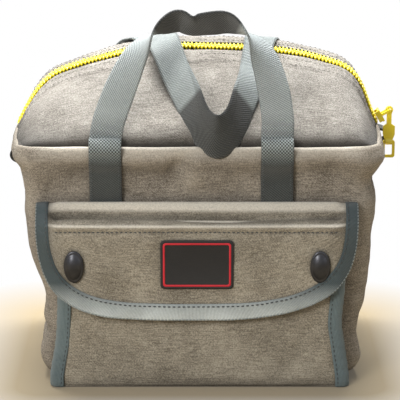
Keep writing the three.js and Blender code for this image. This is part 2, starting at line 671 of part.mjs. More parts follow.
function addRearHandle() {
  const onTop = (x, y, lift) => [x, y, topZ(x, y) + lift];
  const legFoot = CREASE_Y - HANDLE_START;
  const legs = [
    ["rear_handle_left_leg", LEFT_STRAP_X, LEFT_BOW_X, 1, 0.48],
    ["rear_handle_right_leg", RIGHT_STRAP_X, RIGHT_BOW_X, -1, 0.36],
  ];
  for (const [name, foot, head, side, tilt] of legs) {
    const between = (share) => foot + (head - foot) * share;
    const stations = [
      { at: onTop(foot, legFoot, 3), across: [side, 0, 0], width: WEBBING_WIDTH },
      { at: onTop(between(0.15), legFoot * 0.75, 3.2), across: [side, 0, 0], width: WEBBING_WIDTH },
      { at: onTop(between(0.45), legFoot * 0.45, 4), across: [side, 0, 0], width: WEBBING_WIDTH },
      { at: onTop(between(0.8), legFoot * 0.18, 5.5), across: [side, 0, tilt * 0.4], width: WEBBING_WIDTH },
      { at: onTop(head, 0.7, 8.5), across: [side * (1 - tilt * 0.2), 0, tilt], width: WEBBING_WIDTH },
    ];
    add(name, webbingStrip(stations, 12), webbing);
  }
  const width = WEBBING_WIDTH;
  const tipZ = RIM_HEIGHT + BOW_TIP_RISE;
  const bow = [
    { at: onTop(LEFT_BOW_X, -0.7, 9), across: [0.87, 0, 0.49], width },
    { at: onTop(LEFT_BOW_X + 5, -20, 15), across: [0.87, 0, 0.49], width },
    { at: onTop(LEFT_BOW_X + 13, -42, 13.5), across: [0.8, -0.1, 0.6], width },
    { at: onTop(LEFT_BOW_X + 23, -64, 15), across: [0.55, -0.1, 0.83], width: width + 2 },
    { at: [BOW_TIP_X - 14, BOW_TIP_Y + 12, tipZ + 7], across: [0.22, 0, 0.97], width: width + 5 },
    { at: [BOW_TIP_X, BOW_TIP_Y, tipZ], across: [0, 0, 1], width: BOW_SPREAD },
    { at: [BOW_TIP_X + 13, BOW_TIP_Y + 12, tipZ + 8], across: [-0.22, 0, 0.97], width: width + 5 },
    { at: onTop(RIGHT_BOW_X - 14, -66, 15.5), across: [-0.5, -0.1, 0.86], width: width + 2 },
    { at: onTop(RIGHT_BOW_X - 9, -52, 13), across: [-0.68, 0, 0.73], width },
    { at: onTop(RIGHT_BOW_X - 5, -38, 10.5), across: [-0.9, 0, 0.43], width },
    { at: onTop(RIGHT_BOW_X - 2, -20, 10.6), across: [-0.93, 0, 0.37], width },
    { at: onTop(RIGHT_BOW_X, -0.7, 8.6), across: [-0.93, 0, 0.37], width },
  ];
  add("rear_handle_bow", webbingStrip(bow, 40), webbing);
}

// Pocket: its front, two gussets, floor and the two bindings down its front corners
const POCKET_FOOT = 0.5;
function pocketHalfWidth(z) {
  return along(
    [
      [0, POCKET_FOOT_HALF_WIDTH],
      [WAIST_HEIGHT, POCKET_HALF_WIDTH],
    ],
    z,
  );
}
const POCKET_FRONT_Y = -(WALL_HALF_DEPTH + POCKET_DEPTH);

function addPocket() {
  const foot = POCKET_FOOT + POCKET_FLOOR + SEAM_GAP;
  const height = (v) => foot + v * (POCKET_TOP - foot);
  const front = (u, v) => {
    const z = height(v);
    return new THREE.Vector3((2 * u - 1) * pocketHalfWidth(z), POCKET_FRONT_Y, z);
  };
  add("pocket_front", sheet(front, CANVAS, 2, 6), canvas);
  const gussetBack = (z) => -(Math.max(halfDepth(z), WALL_HALF_DEPTH) + SEAM_GAP);
  const gusset = (u, v) => {
    const z = height(v);
    const from = POCKET_FRONT_Y + CANVAS + SEAM_GAP;
    return new THREE.Vector3(pocketHalfWidth(z), from + u * (gussetBack(z) - from), z);
  };
  add("pocket_right_gusset", sheet(gusset, CANVAS, 1, 6), canvas);
  add("pocket_left_gusset", sheet(gusset, CANVAS, 1, 6), canvas).scale.x = -1;
  const floorDepth = POCKET_DEPTH - SEAM_GAP;
  const floor = box(
    2 * POCKET_FOOT_HALF_WIDTH,
    floorDepth,
    POCKET_FLOOR,
    0,
    POCKET_FRONT_Y + floorDepth / 2,
    POCKET_FOOT + POCKET_FLOOR / 2,
  );
  add("pocket_floor", floor, canvas);
  const strip = (u, v) => {
    const z = height(v);
    const x = pocketHalfWidth(z) + (u - 1) * POCKET_BINDING_WIDTH;
    return new THREE.Vector3(x, POCKET_FRONT_Y - SEAM_GAP - BINDING, z);
  };
  add("pocket_right_binding", sheet(strip, BINDING, 1, 6), binding);
  add("pocket_left_binding", sheet(strip, BINDING, 1, 6), binding).scale.x = -1;
}

// The flap rolls out from the wall over the pocket and then hangs straight down
const FLAP_ROLL = POCKET_DEPTH + FLAP_STAND_OFF + CANVAS - MOVING_GAP;
const FLAP_ROOT_Y = -(WALL_HALF_DEPTH + MOVING_GAP);
const FLAP_FACE_Y = FLAP_ROOT_Y - FLAP_ROLL;
const FLAP_EDGE_Z = FLAP_TOP - FLAP_ROLL - (FLAP_LENGTH - (FLAP_ROLL * Math.PI) / 2);

function flapPoint(x, s, lift = 0) {
  const turn = Math.min(s / FLAP_ROLL, Math.PI / 2);
  const radius = FLAP_ROLL + lift;
  const y = FLAP_ROOT_Y - radius * Math.sin(turn);
  const hang = Math.max(s - (FLAP_ROLL * Math.PI) / 2, 0);
  const z = FLAP_TOP - FLAP_ROLL + radius * Math.cos(turn) - hang;
  return new THREE.Vector3(x, y, z);
}

const FLAP_PANEL_HALF = FLAP_HALF_WIDTH - FLAP_BINDING_WIDTH;
const FLAP_PANEL_LENGTH = FLAP_LENGTH - FLAP_BINDING_WIDTH;

function flapEnd(x, half, length) {
  return length * Math.pow(1 - Math.pow(Math.abs(x) / half, FLAP_ROUNDING), 1 / FLAP_ROUNDING);
}

function addFlap() {
  const half = FLAP_PANEL_HALF - SEAM_GAP;
  const length = FLAP_PANEL_LENGTH - SEAM_GAP;
  const shares = [-0.994, -0.97, -0.91, -0.8, -0.5, 0, 0.5, 0.8, 0.91, 0.97, 0.994];
  const panel = (u, v) => {
    const place = u * (shares.length - 1);
    const i = Math.min(Math.floor(place), shares.length - 2);
    const x = half * (shares[i] + (place - i) * (shares[i + 1] - shares[i]));
    return flapPoint(x, (1 - v) * flapEnd(x, half, length));
  };
  add("pocket_flap", sheet(panel, CANVAS, shares.length - 1, 10), canvas);
  const bindingFace = (u, v) => {
    const t = 2 * Math.min(u, 1 - u);
    const turn = (Math.PI / 2) * t * t;
    const halfHere = FLAP_PANEL_HALF + (1 - v) * FLAP_BINDING_WIDTH;
    const lengthHere = FLAP_PANEL_LENGTH + (1 - v) * FLAP_BINDING_WIDTH;
    const x = Math.sign(u - 0.5) * halfHere * Math.pow(Math.cos(turn), 2 / FLAP_ROUNDING);
    const s = lengthHere * Math.pow(Math.sin(turn), 2 / FLAP_ROUNDING);
    return flapPoint(x, s, BINDING / 2);
  };
  add("flap_binding", sheet(bindingFace, CANVAS + BINDING, 44, 1), binding);
}

// A round profile turned about the Y axis, pointing forward
function turned(profile, segments) {
  const lathe = new THREE.LatheGeometry(
    profile.map(([r, h]) => new THREE.Vector2(r, h)),
    segments,
  );
  return lathe.rotateX(Math.PI);
}

function addSnaps() {
  const capProfile = [
    [0, 0],
    [CAP_WIDTH / 2, 0],
    [CAP_WIDTH / 2, CAP_DOME * 0.3],
    [CAP_WIDTH * 0.42, CAP_DOME * 0.72],
    [CAP_WIDTH * 0.25, CAP_DOME * 0.94],
    [0, CAP_DOME],
  ];
  const socketProfile = [
    [SOCKET_BORE_RADIUS, 0],
    [SOCKET_RADIUS, 0],
    [SOCKET_RADIUS, SOCKET_THICKNESS],
    [SOCKET_BORE_RADIUS, SOCKET_THICKNESS],
    [SOCKET_BORE_RADIUS, 0],
  ];
  const studProfile = [
    [0, 0],
    [STUD_BASE_RADIUS, 0],
    [STUD_BASE_RADIUS, STUD_BASE],
    [STUD_RADIUS, STUD_BASE],
    [STUD_RADIUS, STUD_BASE + STUD_REACH],
    [0, STUD_BASE + STUD_REACH],
  ];
  const flapInner = FLAP_FACE_Y + CANVAS + SEAM_GAP;
  const snapZ = FLAP_EDGE_Z + SNAP_ABOVE_EDGE;
  for (const [side, x] of [
    ["left", -SNAP_X],
    ["right", SNAP_X],
  ]) {
    const cap = turned(capProfile, 20);
    cap.scale(1, 1, CAP_HEIGHT / CAP_WIDTH);
    add(side + "_snap_cap", cap, gunmetal).position.set(x, FLAP_FACE_Y - SEAM_GAP, snapZ);
    const socket = add(side + "_snap_socket", turned(socketProfile, 16), gunmetal);
    socket.position.set(x, flapInner + SOCKET_THICKNESS, snapZ);
    const stud = add(side + "_snap_stud", turned(studProfile, 16), gunmetal);
    stud.position.set(x, POCKET_FRONT_Y - SEAM_GAP, snapZ);
  }
}

function addPatch() {
  const outline = roundedRectangle(PATCH_WIDTH / 2, PATCH_HEIGHT / 2, PATCH_CORNER_RADIUS);
  const plate = new THREE.ExtrudeGeometry(outline, {
    depth: PATCH_THICKNESS,
    bevelEnabled: false,
    curveSegments: 4,
  });
  plate.rotateX(Math.PI / 2);
  add("flap_patch", plate, rubber).position.set(0, FLAP_FACE_Y - SEAM_GAP, FLAP_EDGE_Z + PATCH_ABOVE_EDGE);
}

addBase();
addWalls();
addTopPanels();
addEndCaps();
addTopChain();
addChainEnds();
addPull(addSlider());
addEndTabs();
addStraps();
addFrontHandle();
addRearHandle();
addPocket();
addFlap();
addSnaps();
addPatch();

const span = new THREE.Box3().setFromObject(bag);
const middle = span.getCenter(new THREE.Vector3());
bag.position.set(-middle.x, -middle.y, 0);

export default bag;
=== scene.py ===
# %% [markdown]
# # A canvas tool bag
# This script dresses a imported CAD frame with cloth, webbing and metal. The frame already has the solids,
# the bodies and the joints, so every piece made here only says which body it rides on. Sizes are written
# in millimetres in the bag's own coordinates, where Y = 0 is the plane of the zipper, and `at` turns them
# into the frame's metres.

# %% Load the frame
import math

import bpy
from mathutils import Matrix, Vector, noise


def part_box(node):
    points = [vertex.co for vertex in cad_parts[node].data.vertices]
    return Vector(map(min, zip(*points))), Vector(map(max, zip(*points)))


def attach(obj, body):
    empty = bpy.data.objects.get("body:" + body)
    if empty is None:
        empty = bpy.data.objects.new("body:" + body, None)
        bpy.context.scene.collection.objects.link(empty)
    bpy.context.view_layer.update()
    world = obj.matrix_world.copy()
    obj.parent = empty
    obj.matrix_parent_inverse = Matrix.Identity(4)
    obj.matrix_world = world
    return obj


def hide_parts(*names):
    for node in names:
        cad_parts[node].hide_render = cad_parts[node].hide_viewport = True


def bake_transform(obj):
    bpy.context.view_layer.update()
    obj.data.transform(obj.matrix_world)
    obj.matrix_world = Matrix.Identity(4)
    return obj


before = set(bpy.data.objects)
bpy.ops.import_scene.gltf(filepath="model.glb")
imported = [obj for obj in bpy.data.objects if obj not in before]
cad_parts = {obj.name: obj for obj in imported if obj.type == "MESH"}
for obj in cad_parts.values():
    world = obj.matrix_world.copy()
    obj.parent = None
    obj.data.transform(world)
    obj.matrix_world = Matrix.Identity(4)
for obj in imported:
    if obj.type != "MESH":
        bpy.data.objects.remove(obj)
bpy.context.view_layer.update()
print("CAD nodes:", len(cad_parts))

# %% [markdown]
# ## Places
# The bottom panel is centred on the bag's own axes, so its box gives the shift to the frame. Heights and
# depths that several pieces share get a name here, because a strap, a seam and a panel that meet have to
# move together when one of them changes.

# %% Shared places
floor_low, floor_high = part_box("bottom_panel")
SHIFT_X = (floor_low[0] + floor_high[0]) / 2
SHIFT_Y = (floor_low[1] + floor_high[1]) / 2

RIM = 197  # height of the walls
CREASE_Y = 88  # where the top meets the front and rear wall
CAP_INNER = 118  # the top turns down into its end caps from here on
RIDGE_END = 152  # where the zipper meets the side walls
FLAP_TOP = 150
FLAP_ROLL = 26  # radius of the roll in which the flap comes out of the wall
FLAP_ROOT_Y = -85.7
LEFT_STRAP_X = -73
RIGHT_STRAP_X = 64
WEBBING_WIDTH = 26
CLOTH = 1.6  # thickness of the canvas
print("shift to the frame:", round(SHIFT_X, 4), round(SHIFT_Y, 4))


# %% [markdown]
# ## Helpers for soft shapes
# A few helpers shape nearly everything. `smooth` fades from 0 to 1, `bump` and `mound` are a soft fold and a
# soft hill, `along` runs a smooth curve through typed stations, and `ripple` gives the gentle noise that
# keeps cloth from looking like sheet metal. A cloth simulation could wrinkle the bag too, but a formula
# gives the same folds on each run, and each fold can be put where the photograph shows it.

# %% Curves and soft noise
def at(x, y, z):
    return Vector((x / 1000 + SHIFT_X, y / 1000 + SHIFT_Y, z / 1000))


def smooth(a, b, x):
    t = min(max((x - a) / (b - a), 0), 1)
    return t * t * (3 - 2 * t)


def bump(distance, width):
    """1 in the middle of a fold, and nearly 0 at twice its width."""
    return math.exp(-(distance / width) ** 2)


def mound(a, a_width, b, b_width):
    """A bump in two directions."""
    return math.exp(-(a / a_width) ** 2 - (b / b_width) ** 2)


def along(stations, x):
    """The value at x of a smooth curve through (place, value) stations."""
    if x <= stations[0][0]:
        return stations[0][1]
    for i in range(1, len(stations)):
        if x <= stations[i][0]:
            x1, y1 = stations[i - 1]
            x2, y2 = stations[i]
            x0, y0 = stations[i - 2] if i > 1 else (x1, y1)
            x3, y3 = stations[i + 1] if i + 1 < len(stations) else (x2, y2)
            t = (x - x1) / (x2 - x1)
            m1 = (y2 - y0) / (x2 - x0) * (x2 - x1)
            m2 = (y3 - y1) / (x3 - x1) * (x2 - x1)
            return ((2 * t**3 - 3 * t**2 + 1) * y1 + (t**3 - 2 * t**2 + t) * m1
                    + (3 * t**2 - 2 * t**3) * y2 + (t**3 - t**2) * m2)
    return stations[-1][1]


def ripple(point, size, seed=0.0):
    """Soft noise between about -1 and 1 with features of `size` millimetres."""
    return noise.noise(Vector(point) / size + Vector((seed, seed * 1.7, seed * 0.3))) * 1.6


# %% [markdown]
# ## Outlines
# The bag is soft, so its left and right side differ: it is pinched at the waist on the left and stands out
# more on the right. Each outline is a list of (height, distance) stations. A box could be sculpted by hand
# instead, but stations can be held against the photograph and corrected one by one.

# %% Outlines of the walls and the ridge
LEFT_OUTLINE = [(0, 118), (4, 124), (14, 130), (26, 130), (45, 124.5), (70, 124), (98, 133),
                (124, 137), (150, 138.5), (172, 143), (197, 145)]
RIGHT_OUTLINE = [(0, 123), (4, 129), (14, 134), (26, 133.5), (40, 131), (57, 136), (84, 139),
                 (124, 140.5), (150, 143), (162, 141), (182, 144.5), (197, 146)]
DEPTH_OUTLINE = [(0, 79), (5, 83), (16, 85), (60, 85.5), (110, 86), (155, 86), (180, 89.5), (197, 91)]
BULGE = [(0, 0), (26, 0), (52, -3), (110, 3), (197, 7.5)]
RIDGE_LINE = [(-152, 197), (-149, 202), (-145, 209), (-137, 221), (-127, 232), (-115, 240), (-96, 247),
              (-80, 251.5), (-60, 256.5), (-38, 260), (-17, 261.5), (10, 261), (40, 260), (69, 257.5),
              (89, 254.5), (106, 250), (121, 245), (131, 238), (138.5, 227), (146, 209), (150, 201.5),
              (152, 197)]


def side_wall(side, z):
    """Distance of the left (-1) or right (1) wall from the middle."""
    return along(RIGHT_OUTLINE if side > 0 else LEFT_OUTLINE, z)


def half_depth(z):
    return along(DEPTH_OUTLINE, z)


def ridge(t):
    """The zipper's line: t runs from -1 at the left end to 1 at the right end."""
    place = (t + 1) / 2 * (len(RIDGE_LINE) - 1)
    i = min(int(place), len(RIDGE_LINE) - 2)
    rows = [RIDGE_LINE[min(max(k, 0), len(RIDGE_LINE) - 1)] for k in (i - 1, i, i + 1, i + 2)]
    f = place - i
    out = []
    for a, b, c, d in zip(*rows):
        out.append(0.5 * (2 * b + (c - a) * f + (2 * a - 5 * b + 4 * c - d) * f * f
                          + (3 * b - a - 3 * c + d) * f**3))
    return out


# %% [markdown]
# ## The swell of the top
# The closed top is a soft hump. The zipper doesn't lie on its highest line but a little in front of it, so
# from the front a strip of cloth shows behind the teeth. `puff` gives the hump's height between the two
# creases, and `top_point` carries it from one end cap to the other.

# %% The swell of the top
def puff(y):
    """Height of the top between its creases. The zipper lies just in front of the highest line."""
    if y < 0:
        return max(1 - min(-y / CREASE_Y, 1) ** 1.28, 0) ** 0.9
    fall = max(1 - min(max(y - 12, 0) / (CREASE_Y - 12), 1) ** 1.8, 0) ** 0.9
    return fall * (1 + 0.085 * smooth(-2, 18, y))


TOP_CORNER = 12


def end_x(side, y):
    """Where the top meets the rim of the side wall, with the corner rounded."""
    reach = side_wall(side, RIM) - 3.9
    turn = max(abs(y) - (CREASE_Y - TOP_CORNER), 0) / TOP_CORNER
    corner = TOP_CORNER * (1 - math.sqrt(max(1 - turn * turn, 0)))
    return reach + along(BULGE, RIM) * (1 - min((y / half_depth(RIM)) ** 2, 1)) - corner


def top_point(t, y):
    """A point of the closed top: t follows the zipper and y goes from the front crease to the rear one."""
    x, z = ridge(t)
    if abs(x) > CAP_INNER:
        share = (abs(x) - CAP_INNER) / (RIDGE_END - CAP_INNER)
        x = math.copysign(CAP_INNER + share * (end_x(x, y) - CAP_INNER), x)
    return x, y, RIM + (z - RIM) * puff(y)


def top_z(x, y):
    """Height of the top's cloth. Under the fallen bow it is taken a little lower, where the bow rests."""
    share = puff(y) if y >= 0 else 1 - min(-y / CREASE_Y, 1) ** 1.3
    return RIM + (along(RIDGE_LINE, x) - RIM) * share


# %% [markdown]
# ## Making meshes
# Blender takes a mesh as lists of points and faces. `new_piece` hands them over, with UVs that are written
# in metres of cloth rather than from 0 to 1, so that a weave has its real size on every piece.

# %% A mesh from lists
def new_piece(name, verts, faces, uvs, material):
    mesh = bpy.data.meshes.new(name)
    mesh.from_pydata(verts, [], faces)
    layer = mesh.uv_layers.new(name="UVMap")
    for loop in mesh.loops:
        layer.data[loop.index].uv = uvs[loop.vertex_index]
    mesh.polygons.foreach_set("use_smooth", [True] * len(mesh.polygons))
    mesh.materials.append(material)
    mesh.update()
    piece = bpy.data.objects.new(name, mesh)
    bpy.context.scene.collection.objects.link(piece)
    print(f"{name}: {len(verts)} points, {len(faces)} faces")
    return piece


# %% [markdown]
# ## Points of a piece of cloth
# A function of (u, v) gives the outer face of a piece of cloth, and a relief moves each point along the
# normal to add folds. A Displace modifier could do the same, but here the seams and straps ask for the same
# relief, so that they lie on the folds.

# %% Cloth from a face function
def face_grid(face, columns, rows, relief=None, beyond=0):
    """Points and outward normals, in millimetres, of a face(u, v) with an optional relief.

    `beyond` columns are worked out past both ends, so that two sheets that meet share their normals.
    """
    places = range(-beyond, columns + 1 + beyond)
    points = [[Vector(face(i / columns, j / rows)) for i in places] for j in range(rows + 1)]
    last = len(places) - 1

    def normals_of(grid):
        out = []
        for j in range(rows + 1):
            line = []
            for i in range(last + 1):
                du = grid[j][min(i + 1, last)] - grid[j][max(i - 1, 0)]
                dv = grid[min(j + 1, rows)][i] - grid[max(j - 1, 0)][i]
                line.append(du.cross(dv).normalized())
            out.append(line)
        return out

    normals = normals_of(points)
    if relief:
        for j in range(rows + 1):
            for i, place in enumerate(places):
                points[j][i] = points[j][i] + normals[j][i] * relief(place / columns, j / rows, points[j][i])
        normals = normals_of(points)
    keep = slice(beyond, beyond + columns + 1)
    return [line[keep] for line in points], [line[keep] for line in normals]


# %% [markdown]
# ## Sheets of cloth
# Canvas is a thin sheet with an edge. A Solidify modifier could give a face its thickness, but a mesh that is
# closed from the start needs no modifier and keeps its shape in any export. So `sheet` writes both faces and
# the rim between them, and measures the cloth for its UVs.

# %% From points to a sheet
def walked(points):
    """How far each point lies along a line of points, in metres."""
    out = [0.0]
    for a, b in zip(points, points[1:]):
        out.append(out[-1] + (b - a).length / 1000)
    return out


def sheet(name, face, columns, rows, material, thickness=CLOTH, relief=None, beyond=0):
    points, normals = face_grid(face, columns, rows, relief, beyond)
    width = walked(points[rows // 2])
    height = walked([line[columns // 2] for line in points])
    verts, uvs, faces = [], [], []
    across = columns + 1
    for depth in (0, thickness):
        for j in range(rows + 1):
            for i in range(across):
                verts.append(at(*(points[j][i] - normals[j][i] * depth)))
                uvs.append((width[i], height[j]))
    count = across * (rows + 1)
    for j in range(rows):
        for i in range(columns):
            a = j * across + i
            quad = (a, a + 1, a + 1 + across, a + across)
            faces.append(quad)
            faces.append(tuple(count + k for k in reversed(quad)))
    rim = [j * across for j in range(rows, 0, -1)] + list(range(columns))
    rim += [j * across + columns for j in range(rows)]
    rim += [rows * across + i for i in range(columns, 0, -1)]
    for k, a in enumerate(rim):
        b = rim[(k + 1) % len(rim)]
        faces.append((a, count + a, count + b, b))
    piece = new_piece(name, verts, faces, uvs, material)
    if beyond:
        outward = [n for line in normals for n in line]
        piece.data.normals_split_custom_set_from_vertices(outward + [-n for n in outward])
    return piece


# %% [markdown]
# ## Webbing
# A handle is one long band of constant width that bends, twists and lies on other pieces. A Bezier curve
# with a bevel could make it, but a curve object gives little say over the twist. So the path gives three
# things at each place: the middle, the direction across the band, and its width.

# %% Webbing along a path
def ribbon(name, path, material, thickness, steps, start=0.0, relief=None):
    """Webbing along path(u), which gives its middle, the direction across it and its width.

    Its U starts from `start` millimetres, so that U = 0 can lie in the middle of a handle's painted shade.
    """
    across_front = (-0.97, -0.8, -0.4, 0, 0.4, 0.8, 0.97)
    ring = [(-0.5, 0)] + [(a / 2, 0.5) for a in across_front]
    ring += [(0.5, 0)] + [(a / 2, -0.5) for a in reversed(across_front)]
    verts, uvs, faces = [], [], []
    length, before = start, None
    for k in range(steps + 1):
        u = k / steps
        middle, across, width = path(u)
        ahead = path(min(u + 1e-3, 1))[0] - path(max(u - 1e-3, 0))[0]
        across = (across - ahead.normalized() * across.dot(ahead.normalized())).normalized()
        normal = ahead.cross(across).normalized()
        length += (middle - before).length if before else 0
        before = middle
        for a, b in ring:
            lift = relief(u, a) if relief else 0
            verts.append(at(*(middle + across * a * width + normal * (b * thickness + lift))))
            uvs.append((length / 1000, (a + 0.5) * width / 1000 + (0.1 if b < 0 else 0)))
    n = len(ring)
    for k in range(steps):
        for i in range(n):
            a, b = k * n + i, k * n + (i + 1) % n
            faces.append((a, a + n, b + n, b))
    faces.append(tuple(range(n)))
    faces.append(tuple(steps * n + i for i in reversed(range(n))))
    return new_piece(name, verts, faces, uvs, material)


def spline(points, u):
    """A Catmull-Rom curve through points, at u from 0 to 1."""
    place = u * (len(points) - 1)
    i = min(int(place), len(points) - 2)
    a, b, c, d = (Vector(points[min(max(k, 0), len(points) - 1)]) for k in (i - 1, i, i + 1, i + 2))
    f = place - i
    return 0.5 * (2 * b + (c - a) * f + (2 * a - 5 * b + 4 * c - d) * f * f + (3 * b - a - 3 * c + d) * f**3)


# %% [markdown]
# ## Stitches
# Sewing is what makes cloth look made. Each stitch is its own small capsule whose ends sink into the cloth,
# set one after the other along a line. An image of stitches would be flat in the light, and a particle
# system would be harder to place, so the capsules are meshed directly.

# %% Rows of stitches
# Each row is a place along the stitch, a share of the thread's thickness, and how far it stands out.
STITCH_PROFILE = ((0.02, 0.35, -0.3), (0.18, 1, -0.05), (0.5, 1.15, 0.06), (0.82, 1, -0.05),
                  (0.98, 0.35, -0.3))
SEAM_SAMPLES = 400
THREAD_SIDES = 6


def stitches(name, line, material, length=2.6, gap=1.3, thread=0.34):
    """A row of sewn stitches along line(u), which gives a point on the cloth and its normal."""
    samples = [line(k / SEAM_SAMPLES) for k in range(SEAM_SAMPLES + 1)]
    places = [0.0]
    for (a, _), (b, _) in zip(samples, samples[1:]):
        places.append(places[-1] + (b - a).length)
    total = places[-1]
    count = max(int(total / (length + gap)), 2)
    verts, uvs, faces = [], [], []

    def sample(s):
        lo, hi = 0, SEAM_SAMPLES
        while hi - lo > 1:
            k = (lo + hi) // 2
            lo, hi = (k, hi) if places[k] <= s else (lo, k)
        f = (s - places[lo]) / max(places[lo + 1] - places[lo], 1e-6)
        (p, n), (q, m) = samples[lo], samples[lo + 1]
        return p.lerp(q, f), n.lerp(m, f).normalized()

    for k in range(count):
        s0 = total * k / count
        base = len(verts)
        for f, size, sink in STITCH_PROFILE:
            s = s0 + f * length
            point, normal = sample(min(s, total - 1e-4))
            ahead = sample(min(s + 0.2, total - 1e-4))[0] - sample(max(s - 0.2, 0))[0]
            side = ahead.cross(normal).normalized()
            for i in range(THREAD_SIDES):
                angle = math.tau * i / THREAD_SIDES
                out = math.sin(angle) * thread * size * 0.8 + sink
                offset = side * math.cos(angle) * thread * size + normal * out
                verts.append(at(*(point + offset)))
                uvs.append((s / 1000, i / THREAD_SIDES))
        for j in range(len(STITCH_PROFILE) - 1):
            ring = base + j * THREAD_SIDES
            for i in range(THREAD_SIDES):
                a, b = ring + i, ring + (i + 1) % THREAD_SIDES
                faces.append((a, b, b + THREAD_SIDES, a + THREAD_SIDES))
        faces.append(tuple(base + i for i in reversed(range(THREAD_SIDES))))
        faces.append(tuple(len(verts) - THREAD_SIDES + i for i in range(THREAD_SIDES)))
    return new_piece(name, verts, faces, uvs, material)


# %% [markdown]
# ## Zipper teeth as blocks
# A zipper has some hundred equal teeth. They could be instances of one tooth, but then they couldn't ride a
# fold that bends between two bodies. So all teeth of a row become one mesh of small blocks, each with
# chamfered corners and a narrower top.

# %% Rounded blocks
def boxes(name, placed, material):
    """Many small rounded blocks: each is (middle, ahead, side, up) with half sizes in the last three."""
    outline = ((-1, -0.6), (-0.6, -1), (0.6, -1), (1, -0.6), (1, 0.6), (0.6, 1), (-0.6, 1), (-1, 0.6))
    n = len(outline)
    verts, uvs, faces = [], [], []
    for middle, ahead, side, up in placed:
        base = len(verts)
        for height, scale in ((-1, 0.85), (0.45, 1), (1, 0.6)):
            for a, b in outline:
                verts.append(at(*(middle + ahead * a * scale + side * b * scale + up * height)))
                uvs.append((a, b))
        for j in range(2):
            for i in range(n):
                a, b = base + j * n + i, base + j * n + (i + 1) % n
                faces.append((a, b, b + n, a + n))
        faces.append(tuple(base + i for i in reversed(range(n))))
        faces.append(tuple(base + 2 * n + i for i in range(n)))
    return new_piece(name, verts, faces, uvs, material)


# %% [markdown]
# ## Handing pieces to the frame
# Each finished piece rides on a body, and may stand for CAD nodes that are then hidden. One function says
# both, so that no piece is forgotten.

# %% Hand a piece to the frame
def finish_piece(piece, body, slot, *nodes):
    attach(piece, body)
    if nodes:
        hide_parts(*nodes)
    return piece


# %% [markdown]
# ## Shader maths in Python
# A shader is a graph of small nodes, and a long graph is hard to read. `Value` wraps a socket, so that plain
# arithmetic writes the Math nodes. The reflected forms let a number stand first, as in `1 - mask`.

# %% Shader maths in Python
class Value:
    def __init__(self, shop, socket):
        self.shop = shop
        self.socket = socket

    def math(self, operation, *others):
        return self.shop.node("Math", 0, dict(enumerate((self, *others))), operation=operation)

    def __add__(self, other):
        return self.math("ADD", other)

    def __radd__(self, other):
        return self.math("ADD", other)

    def __sub__(self, other):
        return self.math("SUBTRACT", other)

    def __rsub__(self, other):
        return self.shop.node("Math", 0, {0: other, 1: self}, operation="SUBTRACT")

    def __mul__(self, other):
        return self.math("MULTIPLY", other)

    def __rmul__(self, other):
        return self.math("MULTIPLY", other)

    def __truediv__(self, other):
        return self.math("DIVIDE", other)

    def sin(self):
        return self.math("SINE")

    def abs(self):
        return self.math("ABSOLUTE")

    def power(self, exponent):
        return self.math("POWER", exponent)

    def above(self, limit, soft):
        """0 below the limit and 1 above it, over a soft width."""
        return ((self - limit) / soft + 0.5).clamp()

    def clamp(self):
        return self.shop.node("Clamp", 0, {0: self})

    def beside(self, output):
        """Another output of the node that this value comes from."""
        return Value(self.shop, self.socket.node.outputs[output])
